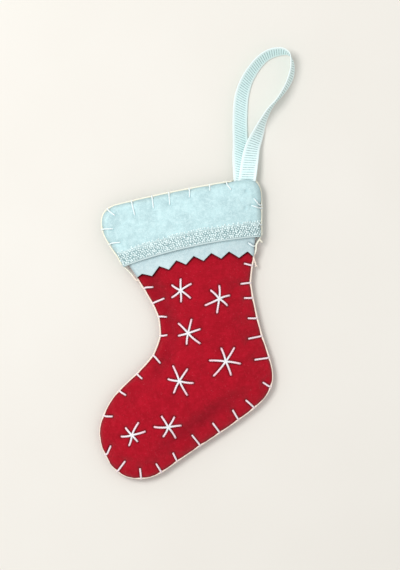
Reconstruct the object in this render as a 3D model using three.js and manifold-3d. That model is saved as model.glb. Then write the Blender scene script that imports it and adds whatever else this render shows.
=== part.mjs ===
// A hand-sewn, stuffed felt stocking to hang on a tree, lying on its back.
//
// Millimetres. +Z comes out of the decorated face, +Y runs up the leg to the cuff, and the toe points to -X.
// The origin is on the flat of the back, in the middle of the ankle.
//
// A felt sheet is a closed shell over a grid of points. Its height is worked out from how far each point lies
// inside the edge, so the layers swell over the stuffing, pinch together at the seams and nest on each other.

import * as THREE from "three";
import { mergeVertices } from "three/addons/utils/BufferGeometryUtils.js";
import Module from "manifold-3d";

const wasm = await Module();
wasm.setup();

// Overall sizes
const stockingWidth = 80;
const stockingHeight = 112;
const feltThickness = 0.9;
const layerGap = 0.3;

// How far the boot is stuffed, and how the felt draws in towards its seams
const frontCrown = 4.1;
const cuffCrown = 2.5;
const crownChangeTop = 36;
const crownChangeBottom = 16;
const frontSwellReach = 13;
const backSwellReach = 11.5;
const seamPinchPower = 1.3;
const backStepLength = 5;
const stuffingInset = 3;
const stuffingRibbonClearance = 3;

// Cuff
const cuffBow = 1.8;
const cuffTopBow = 0.7;
const cuffMouthShare = 0.5;
const cuffLevelMargin = 0.6;
const braidWidth = 5.8;
const braidThickness = 0.8;

// Pinked lower edge of the cuff's under layer
const toothPitch = 7.07;
const toothDepth = 2.6;
const firstNotchX = -18.6;
const notchCount = 7;
const toothRowTop = 28.2;
const toothRowCentreX = 5.5;
const toothRowBow = 3;
const toothRowHalfLength = 23;
const toothEasePower = 3;

// Ribbon
const ribbonWidth = 7;
const ribbonThickness = 0.5;
const ribbonReach = 48;
const ribbonRootShares = { x: 0.35, y: 0.502 };
const ribbonEndLength = 10;
const ribbonEndLeanShare = 0.25;
const ribbonEndPressShare = 0.9;
const ribbonTableClearance = 0.35;
const ribbonHingeGap = 1.7;
const ribbonRoomFade = 8;
const ribbonRoomFrontShare = 0.75;

// Thread
const threadDiameter = 0.84;
const stitchGroundClearance = 0.36;
const bootStitchLength = 3.3;
const cuffStitchLength = 3.6;
const looseEndLength = 8.4;
const cutEndLength = 1.6;
const knotDiameter = 1.3;
const snowflakeArm = 5.2;

// Outline of the boot in shares of the stocking's width and height, from the shin's top down to the toe
const shinShares = [
  [-0.318, 0.471], [-0.352, 0.455], [-0.353, 0.411], [-0.307, 0.309], [-0.254, 0.223], [-0.217, 0.153],
  [-0.184, 0.081], [-0.187, 0.017], [-0.216, -0.035], [-0.277, -0.085], [-0.375, -0.134], [-0.467, -0.179],
  [-0.530, -0.231], [-0.572, -0.290], [-0.574, -0.356],
];
// and from the calf's top down to the heel, along the sole and up to the toe
const calfShares = [
  [0.342, 0.479], [0.370, 0.461], [0.371, 0.407], [0.353, 0.321], [0.320, 0.227], [0.281, 0.150],
  [0.278, 0.081], [0.281, 0.013], [0.290, -0.069], [0.311, -0.154], [0.309, -0.222], [0.259, -0.272],
  [0.147, -0.318], [0.020, -0.361], [-0.114, -0.402], [-0.243, -0.444], [-0.348, -0.477], [-0.451, -0.474],
  [-0.528, -0.438], [-0.574, -0.356],
];
// Outline of the cuff, from each end of its top edge round the corner and down the side
const cuffLeftShares = [
  [-0.312, 0.483], [-0.362, 0.469], [-0.384, 0.433], [-0.380, 0.390], [-0.352, 0.343], [-0.328, 0.309],
  [-0.314, 0.270],
];
const cuffRightShares = [
  [0.362, 0.493], [0.398, 0.481], [0.410, 0.452], [0.400, 0.403], [0.388, 0.356], [0.377, 0.318],
  [0.371, 0.290],
];

// Which share of the shin side faces which share of the calf side: the rows turn round the ankle like a fan
const bootRowShares = [
  { row: 0, left: 0, right: 0 },
  { row: 0.38, left: 0.5, right: 0.325 },
  { row: 0.66, left: 0.63, right: 0.7 },
  { row: 1, left: 1, right: 1 },
];

// The ribbon's centre line in shares of its reach, up one leg, over the bend and down the other. The roll is in
// degrees from flat, and lift is the share of the seam's height that the leg still has as it sinks to the table.
const ribbonRouteShares = [
  { x: -0.021, y: 0, roll: 0, lift: 1 },
  { x: -0.004, y: 0.165, roll: 17, lift: 0.53 },
  { x: 0.015, y: 0.29, roll: 30, lift: 0.15 },
  { x: 0.033, y: 0.413, roll: 33, lift: 0.03 },
  { x: 0.054, y: 0.527, roll: 34, lift: 0 },
  { x: 0.092, y: 0.673, roll: 38, lift: 0 },
  { x: 0.146, y: 0.784, roll: 47, lift: 0 },
  { x: 0.213, y: 0.869, roll: 53, lift: 0 },
  { x: 0.298, y: 0.944, roll: 58, lift: 0 },
  { x: 0.373, y: 0.982, roll: 62, lift: 0 },
  { x: 0.442, y: 0.992, roll: 66, lift: 0 },
  { x: 0.5, y: 0.985, roll: 74, lift: 0 },
  { x: 0.542, y: 0.957, roll: 88, lift: 0 },
  { x: 0.556, y: 0.904, roll: 99, lift: 0 },
  { x: 0.55, y: 0.838, roll: 105, lift: 0 },
  { x: 0.523, y: 0.767, roll: 108, lift: 0 },
  { x: 0.471, y: 0.692, roll: 104, lift: 0 },
  { x: 0.415, y: 0.633, roll: 99, lift: 0 },
  { x: 0.367, y: 0.592, roll: 95, lift: 0 },
  { x: 0.296, y: 0.527, roll: 102, lift: 0 },
  { x: 0.231, y: 0.442, roll: 113, lift: 0.05 },
  { x: 0.171, y: 0.346, roll: 131, lift: 0.24 },
  { x: 0.11, y: 0.248, roll: 149, lift: 0.54 },
  { x: 0.069, y: 0.144, roll: 165, lift: 0.78 },
  { x: 0.021, y: 0, roll: 180, lift: 1 },
];

// Blanket stitches in shares: how far along the edge they sit, how long they are, how far they lean along it and
// how much of them shows on the back. The boot's run from its shin's top round the toe to its calf's top, the
// cuff's from its right corner over the top to its left corner.
const bootStitchShares = [
  { along: 0.128, length: 0.85, lean: 0.4, back: 1 },
  { along: 0.153, length: 1.35, lean: 0.15, back: 0.8 },
  { along: 0.175, length: 0.75, lean: 0.25, back: 1 },
  { along: 0.203, length: 0.6, lean: -0.15, back: 1.1 },
  { along: 0.235, length: 1.05, lean: 0.3, back: 0.8 },
  { along: 0.271, length: 0.65, lean: -0.05, back: 0.9 },
  { along: 0.306, length: 0.75, lean: -0.15, back: 1 },
  { along: 0.348, length: 0.85, lean: -0.3, back: 0.9 },
  { along: 0.405, length: 0.9, lean: -0.65, back: 0.9 },
  { along: 0.434, length: 1.4, lean: -0.05, back: 0.7 },
  { along: 0.469, length: 1.05, lean: -0.05, back: 0.8 },
  { along: 0.499, length: 1, lean: 0, back: 0.9 },
  { along: 0.527, length: 0.9, lean: 0.15, back: 1 },
  { along: 0.567, length: 1.4, lean: -0.1, back: 0.8 },
  { along: 0.601, length: 1.25, lean: -0.05, back: 0.8 },
  { along: 0.634, length: 1.15, lean: 0.1, back: 0.9 },
  { along: 0.662, length: 1.15, lean: -0.15, back: 1 },
  { along: 0.7, length: 0.85, lean: 0.2, back: 1.1 },
  { along: 0.742, length: 1.55, lean: 0.25, back: 0.7 },
  { along: 0.775, length: 1.45, lean: 0.15, back: 0.8 },
  { along: 0.802, length: 0.85, lean: 0.2, back: 1 },
  { along: 0.832, length: 0.8, lean: 0.15, back: 1.1 },
  { along: 0.854, length: 0.95, lean: -0.05, back: 0.9 },
  { along: 0.88, length: 0.75, lean: 0.05, back: 1 },
  { along: 0.908, length: 0.6, lean: 0.3, back: 0 },
];
const cuffStitchShares = [
  { along: 0.045, length: 0.65, lean: 0.05, back: 1 },
  { along: 0.107, length: 0.9, lean: 0.25, back: 0.9 },
  { along: 0.118, length: 0.4, lean: 1, back: 0 },
  { along: 0.311, length: 0.75, lean: -0.35, back: 0 },
  { along: 0.376, length: 0.4, lean: 0.05, back: 1 },
  { along: 0.453, length: 0.75, lean: 0.15, back: 0.9 },
  { along: 0.531, length: 1.15, lean: 0.15, back: 0.8 },
  { along: 0.595, length: 1.15, lean: 0.1, back: 0.8 },
  { along: 0.673, length: 1.45, lean: 0, back: 0.6 },
  { along: 0.765, length: 0.9, lean: -0.25, back: 0.9 },
  { along: 0.841, length: 1, lean: 0.2, back: 0.9 },
  { along: 0.901, length: 0.95, lean: 0.5, back: 0.8 },
];
// Where on its edge each thread starts and ends
const bootThreadShares = [0.098, 0.925];
const cuffThreadShares = [0.004, 0.996];
// Where the cuff's thread leaves its edge, is behind the ribbon, comes out again and is back on the edge
const behindRibbonShares = [0.165, 0.195, 0.262, 0.3];

// Snowflakes: centre in shares of the stocking, and the six tips as an angle in degrees and a share of an arm
const snowflakeShares = [
  { x: -0.06, y: 0.151, tips: [[80, 0.86], [22, 0.95], [-48, 0.95], [-98, 0.86], [-151, 0.85], [139, 0.77]] },
  { x: 0.121, y: 0.098, tips: [[80, 1], [8, 0.82], [-50, 0.79], [-109, 1.09], [-165, 1.18], [125, 0.92]] },
  { x: -0.061, y: -0.003, tips: [[66, 1.1], [9, 0.98], [-50, 1.2], [-107, 0.85], [-175, 0.75], [124, 1.04]] },
  { x: 0.099, y: -0.124, tips: [[48, 1.22], [-19, 1.13], [-79, 1.12], [-140, 1.45], [167, 1.24], [99, 1.06]] },
  { x: -0.144, y: -0.164, tips: [[46, 1.1], [-18, 1.06], [-71, 1.25], [-125, 1.01], [161, 0.88], [103, 1.24]] },
  { x: -0.422, y: -0.323, tips: [[52, 1.07], [5, 1.04], [-59, 0.64], [-115, 0.84], [179, 0.82], [122, 0.72]] },
  { x: -0.238, y: -0.318, tips: [[49, 0.9], [-3, 0.98], [-67, 1.02], [-128, 0.82], [169, 1.08], [112, 0.98]] },
];

// Counts of rows, columns, sides and steps
const bootRowCount = 36;
const bootColumnCount = 11;
const cuffRowCount = 12;
const cuffColumnCount = 22;
const underlayRowCount = 11;
const braidRowCount = 2;
const stuffingColumnCount = 8;
const ribbonStepCount = 72;
const threadSideCount = 5;
const stitchSideCount = 5;
const bootThreadStepCount = 84;
const cuffThreadStepCount = 64;
const legStepCount = 5;
const snowflakeStepCount = 4;
const knotSideCount = 6;
const knotRingCount = 5;
const halvingCount = 24;

// Heights worked out from the layers. The back lies flat on the table in the middle, and its rim is high enough
// for the stitches on the back.
const threadRadius = threadDiameter / 2;
const threadClearance = layerGap + threadRadius;
const layerPitch = feltThickness + layerGap;
const cuffBackRise = threadDiameter + layerGap + stitchGroundClearance;
const bootBackRise = cuffBackRise + layerPitch;
const seamHeight = bootBackRise + feltThickness + layerGap / 2;
const ribbonStackRoom = 2 * ribbonThickness + layerGap;
const ribbonLegOffset = (ribbonThickness + layerGap) / 2;

const felt = (name, colour) => new THREE.MeshStandardMaterial({ name, color: colour, roughness: 0.95, metalness: 0 });
const redFelt = felt("red_felt", 0xb2162b);
const whiteFelt = felt("white_felt", 0xd4ecee);
const underFelt = felt("white_felt_under", 0xc8d6dc);
const fibre = felt("polyester_fibre", 0xf2f2ee);
const cotton = new THREE.MeshStandardMaterial({ name: "cotton_thread", color: 0xf1ead8, roughness: 0.8, metalness: 0 });
const silver = new THREE.MeshStandardMaterial({ name: "metallic_braid", color: 0xb9c8cc, roughness: 0.35, metalness: 0.7 });
const grosgrain = new THREE.MeshStandardMaterial({ name: "grosgrain", color: 0xe2f1f1, roughness: 0.6, metalness: 0 });

// Small helpers

function smoothStep(share) {
  const t = THREE.MathUtils.clamp(share, 0, 1);
  return t * t * (3 - 2 * t);
}

function curveThroughShares(shares) {
  const points = shares.map(([x, y]) => new THREE.Vector3(x * stockingWidth, y * stockingHeight, 0));
  return new THREE.CatmullRomCurve3(points, false, "centripetal");
}

// The share of a side's length at which it has come down to a height
function shareAtHeight(curve, height) {
  let above = 0;
  let below = 1;
  for (let halving = 0; halving < halvingCount; halving += 1) {
    const middle = (above + below) / 2;
    if (curve.getPointAt(middle).y > height) above = middle;
    else below = middle;
  }
  return below;
}

function betweenRows(sideShares, row, side) {
  const next = Math.max(1, sideShares.findIndex((entry) => entry.row >= row));
  const start = sideShares[next - 1];
  const end = sideShares[next];
  const share = (row - start.row) / (end.row - start.row);
  return THREE.MathUtils.lerp(start[side], end[side], share);
}

// Column shares that lie closer together near both edges, where a stuffed form bends most
function crowdedShares(count) {
  return Array.from({ length: count + 1 }, (_, index) => (1 - Math.cos((Math.PI * index) / count)) / 2);
}

function evenShares(count) {
  return Array.from({ length: count + 1 }, (_, index) => index / count);
}

// Straight rows of points between two sides, with a bow that lifts the middle of a row
function rowGrid(leftSide, rightSide, sideShares, rows, columns, bowOfRow = () => 0) {
  return rows.map((row) => {
    const left = leftSide.getPointAt(betweenRows(sideShares, row, "left"));
    const right = rightSide.getPointAt(betweenRows(sideShares, row, "right"));
    return columns.map((share) => {
      const point = new THREE.Vector2(left.x, left.y).lerp(new THREE.Vector2(right.x, right.y), share);
      point.y += bowOfRow(row) * (1 - (2 * share - 1) ** 2);
      return point;
    });
  });
}

// Distance from a point to an open line of points
function distanceToLine(x, y, line) {
  let least = Infinity;
  for (let index = 1; index < line.length; index += 1) {
    const start = line[index - 1];
    const alongX = line[index].x - start.x;
    const alongY = line[index].y - start.y;
    const lengthSquared = alongX * alongX + alongY * alongY;
    const reach = ((x - start.x) * alongX + (y - start.y) * alongY) / lengthSquared;
    const share = lengthSquared > 0 ? THREE.MathUtils.clamp(reach, 0, 1) : 0;
    least = Math.min(least, Math.hypot(x - start.x - share * alongX, y - start.y - share * alongY));
  }
  return least;
}

function isInside(x, y, line) {
  let inside = false;
  for (let index = 0, last = line.length - 1; index < line.length; last = index, index += 1) {
    const a = line[index];
    const b = line[last];
    if (a.y > y !== b.y > y && x < ((b.x - a.x) * (y - a.y)) / (b.y - a.y) + a.x) inside = !inside;
  }
  return inside;
}

// Merge shared corners and drop triangles that have shrunk to nothing
function sealed(geometry) {
  geometry.deleteAttribute("normal");
  geometry.deleteAttribute("uv");
  const merged = mergeVertices(geometry);
  const kept = [];
  const index = merged.index.array;
  for (let corner = 0; corner < index.length; corner += 3) {
    const [a, b, c] = index.subarray(corner, corner + 3);
    if (a !== b && b !== c && c !== a) kept.push(a, b, c);
  }
  merged.setIndex(kept);
  merged.computeVertexNormals();
  return merged;
}

// A closed shell over a grid whose rows run down and whose columns run from left to right
function closedSheet(grid, lowerHeight, upperHeight) {
  const rows = grid.length;
  const columns = grid[0].length;
  const positions = [];
  for (const height of [upperHeight, lowerHeight]) {
    for (const row of grid) {
      for (const point of row) positions.push(point.x, point.y, height(point.x, point.y));
    }
  }
  const upper = (row, column) => row * columns + column;
  const lower = (row, column) => rows * columns + upper(row, column);
  const index = [];
  const face = (a, b, c, d) => index.push(a, b, c, a, c, d);
  // Each cell is cut along the diagonal that points to the nearer upper corner, as the folds of the swelling do
  for (let row = 1; row < rows; row += 1) {
    for (let column = 1; column < columns; column += 1) {
      const corners = [[row - 1, column - 1], [row, column - 1], [row, column], [row - 1, column]];
      if (column > columns / 2) corners.push(corners.shift());
      face(...corners.map((corner) => upper(...corner)));
      const [a, b, c, d] = corners.map((corner) => lower(...corner));
      face(a, d, c, b);
    }
  }
  const lastColumn = columns - 1;
  const lastRow = rows - 1;
  for (let row = 1; row < rows; row += 1) {
    face(upper(row, 0), upper(row - 1, 0), lower(row - 1, 0), lower(row, 0));
    face(upper(row - 1, lastColumn), upper(row, lastColumn), lower(row, lastColumn), lower(row - 1, lastColumn));
  }
  for (let column = 1; column < columns; column += 1) {
    face(upper(0, column - 1), upper(0, column), lower(0, column), lower(0, column - 1));
    face(upper(lastRow, column), upper(lastRow, column - 1), lower(lastRow, column - 1), lower(lastRow, column));
  }
  const geometry = new THREE.BufferGeometry();
  geometry.setAttribute("position", new THREE.Float32BufferAttribute(positions, 3));
  geometry.setIndex(index);
  return sealed(geometry);
}

// A flat band swept through stations that each have a centre, a direction across and a direction through
function bandThrough(stations, width, thickness) {
  const positions = [];
  for (const { centre, across, through } of stations) {
    for (const [side, face] of [[-1, -1], [1, -1], [1, 1], [-1, 1]]) {
      const corner = centre.clone();
      corner.addScaledVector(across, (side * width) / 2);
      corner.addScaledVector(through, (face * thickness) / 2);
      positions.push(...corner.toArray());
    }
  }
  const index = [];
  const lastStation = stations.length - 1;
  for (let station = 0; station < lastStation; station += 1) {
    for (let corner = 0; corner < 4; corner += 1) {
      const a = station * 4 + corner;
      const b = station * 4 + ((corner + 1) % 4);
      index.push(a, b, b + 4, a, b + 4, a + 4);
    }
  }
  const end = lastStation * 4;
  index.push(0, 2, 1, 0, 3, 2, end, end + 1, end + 2, end, end + 2, end + 3);
  const geometry = new THREE.BufferGeometry();
  geometry.setAttribute("position", new THREE.Float32BufferAttribute(positions, 3));
  geometry.setIndex(index);
  return sealed(geometry);
}

function roundThread(points, sides, steps) {
  const path = new THREE.CatmullRomCurve3(points, false, "centripetal");
  const section = new THREE.Shape(Array.from({ length: sides }, (_, side) => {
    const angle = (2 * Math.PI * side) / sides;
    return new THREE.Vector2(threadRadius * Math.cos(angle), threadRadius * Math.sin(angle));
  }));
  return sealed(new THREE.ExtrudeGeometry(section, { steps, extrudePath: path, bevelEnabled: false }));
}

function toSolid(geometry) {
  const vertProperties = geometry.attributes.position.array;
  return new wasm.Manifold(new wasm.Mesh({ numProp: 3, vertProperties, triVerts: Uint32Array.from(geometry.index.array) }));
}

function fused(geometries) {
  const whole = geometries.map(toSolid).reduce((sum, solid) => sum.add(solid));
  const mesh = whole.getMesh();
  const geometry = new THREE.BufferGeometry();
  geometry.setAttribute("position", new THREE.Float32BufferAttribute(mesh.vertProperties, 3));
  geometry.setIndex(Array.from(mesh.triVerts));
  geometry.computeVertexNormals();
  return geometry;
}

// Outlines

const shinSide = curveThroughShares(shinShares);
const calfSide = curveThroughShares(calfShares);
const cuffLeftSide = curveThroughShares(cuffLeftShares);
const cuffRightSide = curveThroughShares(cuffRightShares);

const bootGrid = rowGrid(shinSide, calfSide, bootRowShares, evenShares(bootRowCount), crowdedShares(bootColumnCount));
const wholeSideShares = [{ row: 0, left: 0, right: 0 }, { row: 1, left: 1, right: 1 }];
const cuffGrid = rowGrid(
  cuffLeftSide, cuffRightSide, wholeSideShares, crowdedShares(cuffRowCount), crowdedShares(cuffColumnCount),
  (row) => THREE.MathUtils.lerp(cuffTopBow, cuffBow, row),
);

const firstOf = (row) => row[0];
const lastOf = (row) => row[row.length - 1];
// Down the shin, round the toe and up the calf
const bootEdge = [...bootGrid.map(firstOf), ...bootGrid.map(lastOf).reverse().slice(1)];
// Up the right side of the cuff, along its top to the left, and down
const cuffEdge = [
  ...cuffGrid.map(lastOf).reverse(),
  ...[...cuffGrid[0]].reverse().slice(1),
  ...cuffGrid.map(firstOf).slice(1),
];
const bootOutline = [...bootEdge, bootEdge[0]];

// How far inside the boot's edge a point lies, or zero outside it
function bootDepth(x, y) {
  return isInside(x, y, bootOutline) ? distanceToLine(x, y, bootOutline) : 0;
}

const swell = (depth, reach) => Math.sin((Math.PI / 2) * Math.min(depth / reach, 1)) ** seamPinchPower;

// The extra room that the two ribbon ends need between the red panels
const ribbonRoot = new THREE.Vector2(ribbonRootShares.x * stockingWidth, ribbonRootShares.y * stockingHeight);
const ribbonEndLine = [
  ribbonRoot,
  new THREE.Vector2(ribbonRoot.x - ribbonEndLength * ribbonEndLeanShare, ribbonRoot.y - ribbonEndLength),
];
function ribbonRoom(x, y) {
  const beyond = distanceToLine(x, y, ribbonEndLine) - ribbonWidth / 2 - ribbonLegOffset * 2;
  return ribbonStackRoom * (1 - smoothStep(beyond / ribbonRoomFade));
}

function cuffLowerEdge(x) {
  const left = lastOf(cuffGrid)[0];
  const right = lastOf(lastOf(cuffGrid));
  const share = THREE.MathUtils.clamp((x - left.x) / (right.x - left.x), 0, 1);
  return THREE.MathUtils.lerp(left.y, right.y, share) + cuffBow * (1 - (2 * share - 1) ** 2);
}

// Heights of the layers, from the seam outwards. Inner faces look at the stuffing.

function frontPanelInner(x, y) {
  const intoCuff = smoothStep((y - crownChangeBottom) / (crownChangeTop - crownChangeBottom));
  const crown = THREE.MathUtils.lerp(frontCrown, cuffCrown, intoCuff);
  const lift = ribbonRoomFrontShare * ribbonRoom(x, y);
  return seamHeight + layerGap / 2 + lift + crown * swell(bootDepth(x, y), frontSwellReach);
}
const frontPanelOuter = (x, y) => frontPanelInner(x, y) + feltThickness;
const underlayInner = (x, y) => frontPanelOuter(x, y) + layerGap;
const underlayOuter = (x, y) => underlayInner(x, y) + feltThickness;

function backPanelInner(x, y) {
  const underCuff = smoothStep((y - cuffLowerEdge(x) + backStepLength) / backStepLength);
  const rise = bootBackRise - layerPitch * underCuff;
  const drop = (1 - ribbonRoomFrontShare) * ribbonRoom(x, y) + rise * swell(bootDepth(x, y), backSwellReach);
  return seamHeight - layerGap / 2 - Math.min(drop, rise);
}
const backPanelOuter = (x, y) => backPanelInner(x, y) - feltThickness;

// The cuff is wider than the boot: past the boot's edge its two layers close towards each other like a mouth
function cuffSpread(x, y) {
  if (isInside(x, y, bootOutline)) return 1;
  const outside = Math.max(distanceToLine(x, y, bootOutline) - cuffLevelMargin, 0);
  const inside = distanceToLine(x, y, cuffEdge);
  const share = outside + inside > 0 ? inside / (outside + inside) : 1;
  return THREE.MathUtils.lerp(cuffMouthShare, 1, smoothStep(share));
}
const cuffFrontInner = (x, y) => frontPanelInner(x, y) + 2 * layerPitch * cuffSpread(x, y);
const cuffFrontOuter = (x, y) => cuffFrontInner(x, y) + feltThickness;
const cuffBackInner = (x, y) => backPanelInner(x, y) - layerPitch * cuffSpread(x, y);
const cuffBackOuter = (x, y) => cuffBackInner(x, y) - feltThickness;
const braidInner = (x, y) => cuffFrontOuter(x, y) + layerGap;
const braidOuter = (x, y) => braidInner(x, y) + braidThickness;

// Felt pieces

// Where the pinked edge runs: notches and tips alternate along a bowed line
function pinkedEdge(x) {
  const middle = toothRowTop - toothRowBow * ((x - toothRowCentreX) / toothRowHalfLength) ** 2;
  const notches = (x - firstNotchX) / toothPitch;
  const fromNotch = Math.abs(notches - Math.round(notches));
  return middle + toothDepth * (1 / 2 - 2 * fromNotch);
}

// The grid's columns run through every notch and tip, and its rows take up their share of the pinked line
function underlayGrid() {
  const left = shareAtHeight(shinSide, toothRowTop - toothRowBow);
  const right = shareAtHeight(calfSide, toothRowTop - toothRowBow);
  const leftX = shinSide.getPointAt(left).x;
  const rightX = calfSide.getPointAt(right).x;
  const columnStep = toothPitch / 4;
  const turns = Array.from({ length: notchCount * 4 }, (_, turn) => firstNotchX + turn * columnStep);
  const inner = turns.filter((x) => x > leftX + columnStep / 4 && x < rightX - columnStep / 4);
  const columns = [leftX, ...inner, rightX];
  const sideShares = [{ row: 0, left: 0, right: 0 }, { row: 1, left, right }];
  const grid = rowGrid(
    shinSide, calfSide, sideShares, evenShares(underlayRowCount),
    columns.map((x) => (x - leftX) / (rightX - leftX)),
  );
  columns.forEach((x, column) => {
    const change = pinkedEdge(x) - lastOf(grid)[column].y;
    const inside = column > 0 && column < columns.length - 1;
    grid.forEach((row, index) => {
      const share = index / underlayRowCount;
      if (inside) row[column].y += change * share ** toothEasePower;
    });
  });
  return grid;
}

function braidGrid() {
  const left = shareAtHeight(cuffLeftSide, cuffLeftSide.getPointAt(1).y + braidWidth);
  const right = shareAtHeight(cuffRightSide, cuffRightSide.getPointAt(1).y + braidWidth);
  const sideShares = [{ row: 0, left, right }, { row: 1, left: 1, right: 1 }];
  const columns = crowdedShares(cuffColumnCount);
  return rowGrid(cuffLeftSide, cuffRightSide, sideShares, evenShares(braidRowCount), columns, () => cuffBow);
}

// The stuffing stops short of the ribbon's ends, and of the edges, where the panels are pinched together
function stuffingGrid() {
  const stuffingTop = ribbonRoot.y - ribbonEndLength - stuffingRibbonClearance;
  const rows = bootGrid.slice(0, -1).filter((row) => row[0].y < stuffingTop && lastOf(row).y < stuffingTop);
  return rows.map((row) => {
    const left = row[0];
    const right = lastOf(row);
    const margin = stuffingInset / left.distanceTo(right);
    return crowdedShares(stuffingColumnCount).map((share) => {
      return left.clone().lerp(right, THREE.MathUtils.lerp(margin, 1 - margin, share));
    });
  });
}

// Ribbon

const ribbonHeight = seamHeight + ribbonStackRoom * (ribbonRoomFrontShare - 1 / 2);
const rootHeights = { lower: ribbonHeight - ribbonLegOffset, upper: ribbonHeight + ribbonLegOffset };

function ribbonStations() {
  const centres = [];
  const rolls = [];
  ribbonRouteShares.forEach(({ x, y, roll, lift }, index) => {
    const rootHeight = index < ribbonRouteShares.length / 2 ? rootHeights.lower : rootHeights.upper;
    const standing = (ribbonWidth / 2) * Math.sin(THREE.MathUtils.degToRad(roll));
    const height = ribbonTableClearance + standing + lift * (rootHeight - ribbonTableClearance);
    centres.push(new THREE.Vector3(ribbonRoot.x + x * ribbonReach, ribbonRoot.y + y * ribbonReach, height));
    rolls.push(new THREE.Vector3(roll, 0, 0));
  });
  const route = new THREE.CatmullRomCurve3(centres, false, "centripetal");
  const turning = new THREE.CatmullRomCurve3(rolls, false, "centripetal");
  const up = new THREE.Vector3(0, 0, 1);
  return Array.from({ length: ribbonStepCount + 1 }, (_, step) => {
    const share = step / ribbonStepCount;
    const travel = route.getTangent(share);
    const roll = THREE.MathUtils.degToRad(turning.getPoint(share).x);
    const across = travel.clone().cross(up).normalize().multiplyScalar(Math.cos(roll));
    across.addScaledVector(up, -Math.sin(roll)).normalize();
    const through = travel.clone().cross(across).normalize();
    return { centre: route.getPoint(share), across, through };
  });
}

// The two ends lie on each other inside the seam, and each runs on in the direction of its leg
function ribbonSewnEnd() {
  const ends = [
    { foot: ribbonRouteShares[0], next: ribbonRouteShares[1], face: -1 },
    { foot: lastOf(ribbonRouteShares), next: ribbonRouteShares[ribbonRouteShares.length - 2], face: 1 },
  ];
  return fused(ends.map(({ foot, next, face }) => {
    const height = ribbonHeight + (face * ribbonThickness * ribbonEndPressShare) / 2;
    const root = new THREE.Vector3(ribbonRoot.x + foot.x * ribbonReach, ribbonRoot.y, height);
    const inward = new THREE.Vector3(foot.x - next.x, foot.y - next.y, 0).normalize();
    const stations = [ribbonHingeGap, ribbonEndLength].map((depth) => ({
      centre: root.clone().addScaledVector(inward, depth),
      across: new THREE.Vector3(-inward.y, inward.x, 0),
      through: new THREE.Vector3(0, 0, 1),
    }));
    return bandThrough(stations, ribbonWidth, ribbonThickness);
  }));
}

// Stitching

// A smooth line along an edge, and the direction away from the felt at each place on it
function edgeFrame(line, along) {
  const point = line.getPointAt(along);
  const tangent = line.getTangentAt(along);
  return { point, tangent, outward: new THREE.Vector3(tangent.y, -tangent.x, 0) };
}

// The part of a blanket stitch that lies on one face, from the rim to its tip, side 1 being the front
function stitchLeg(line, stitch, fullLength, side, faceHeight) {
  const { point, tangent, outward } = edgeFrame(line, stitch.along);
  const shown = fullLength * (side > 0 ? 1 : stitch.back);
  const rim = point.clone().addScaledVector(outward, threadRadius);
  rim.z = faceHeight(point.x - outward.x * layerGap, point.y - outward.y * layerGap) + side * layerGap;
  const legShares = [0.25, 0.6, 1];
  return [rim, ...legShares.map((share) => {
    const spot = point.clone().addScaledVector(outward, -shown * stitch.length * share);
    spot.addScaledVector(tangent, shown * stitch.lean * share);
    spot.z = faceHeight(spot.x, spot.y) + side * threadClearance;
    return spot;
  })];
}

// A whole blanket stitch: its front leg, the place where it crosses the edge thread, and its back leg
function stitchOverRim(line, stitch, fullLength, frontHeight, backHeight) {
  const onEdge = edgeThreadPoint(line, stitch.along);
  const front = stitchLeg(line, stitch, fullLength, 1, frontHeight).reverse();
  if (!stitch.back) return roundThread([...front, onEdge], stitchSideCount, legStepCount);
  const back = stitchLeg(line, stitch, fullLength, -1, backHeight);
  return roundThread([...front, onEdge, ...back], stitchSideCount, 2 * legStepCount);
}

function bootFace(x, y) {
  return y > pinkedEdge(x) ? underlayOuter(x, y) : frontPanelOuter(x, y);
}

function cuffFace(x, y) {
  return y < cuffLowerEdge(x) + braidWidth + threadRadius ? braidOuter(x, y) : cuffFrontOuter(x, y);
}

function edgeLine(edge) {
  const points = edge.map((point) => new THREE.Vector3(point.x, point.y, 0));
  return new THREE.CatmullRomCurve3(points, false, "centripetal");
}

const bootLine = edgeLine(bootEdge);
const cuffLine = edgeLine(cuffEdge);

function edgeThreadPoint(line, along) {
  const { point, outward } = edgeFrame(line, along);
  point.addScaledVector(outward, threadClearance);
  point.z = seamHeight;
  return point;
}

// At the ribbon the cuff's thread leaves the edge, rounds the rim of the back layer and crosses behind it
function cuffThreadPoint(along) {
  const [leaves, behind, comesOut, back] = behindRibbonShares;
  const share = Math.min((along - leaves) / (behind - leaves), (back - along) / (back - comesOut));
  if (share <= 0) return edgeThreadPoint(cuffLine, along);
  const { point, outward } = edgeFrame(cuffLine, along);
  const rim = cuffBackOuter(point.x, point.y);
  const turn = (Math.PI / 2) * smoothStep(share * 2 - 1);
  const spot = point.clone().addScaledVector(outward, threadClearance * Math.cos(turn));
  spot.z = THREE.MathUtils.lerp(seamHeight, rim, smoothStep(share * 2)) - threadClearance * Math.sin(turn);
  return spot;
}

function edgeThread(pointAt, [start, end], stepCount) {
  const points = evenShares(stepCount).map((share) => pointAt(THREE.MathUtils.lerp(start, end, share)));
  return roundThread(points, threadSideCount, stepCount);
}

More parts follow.
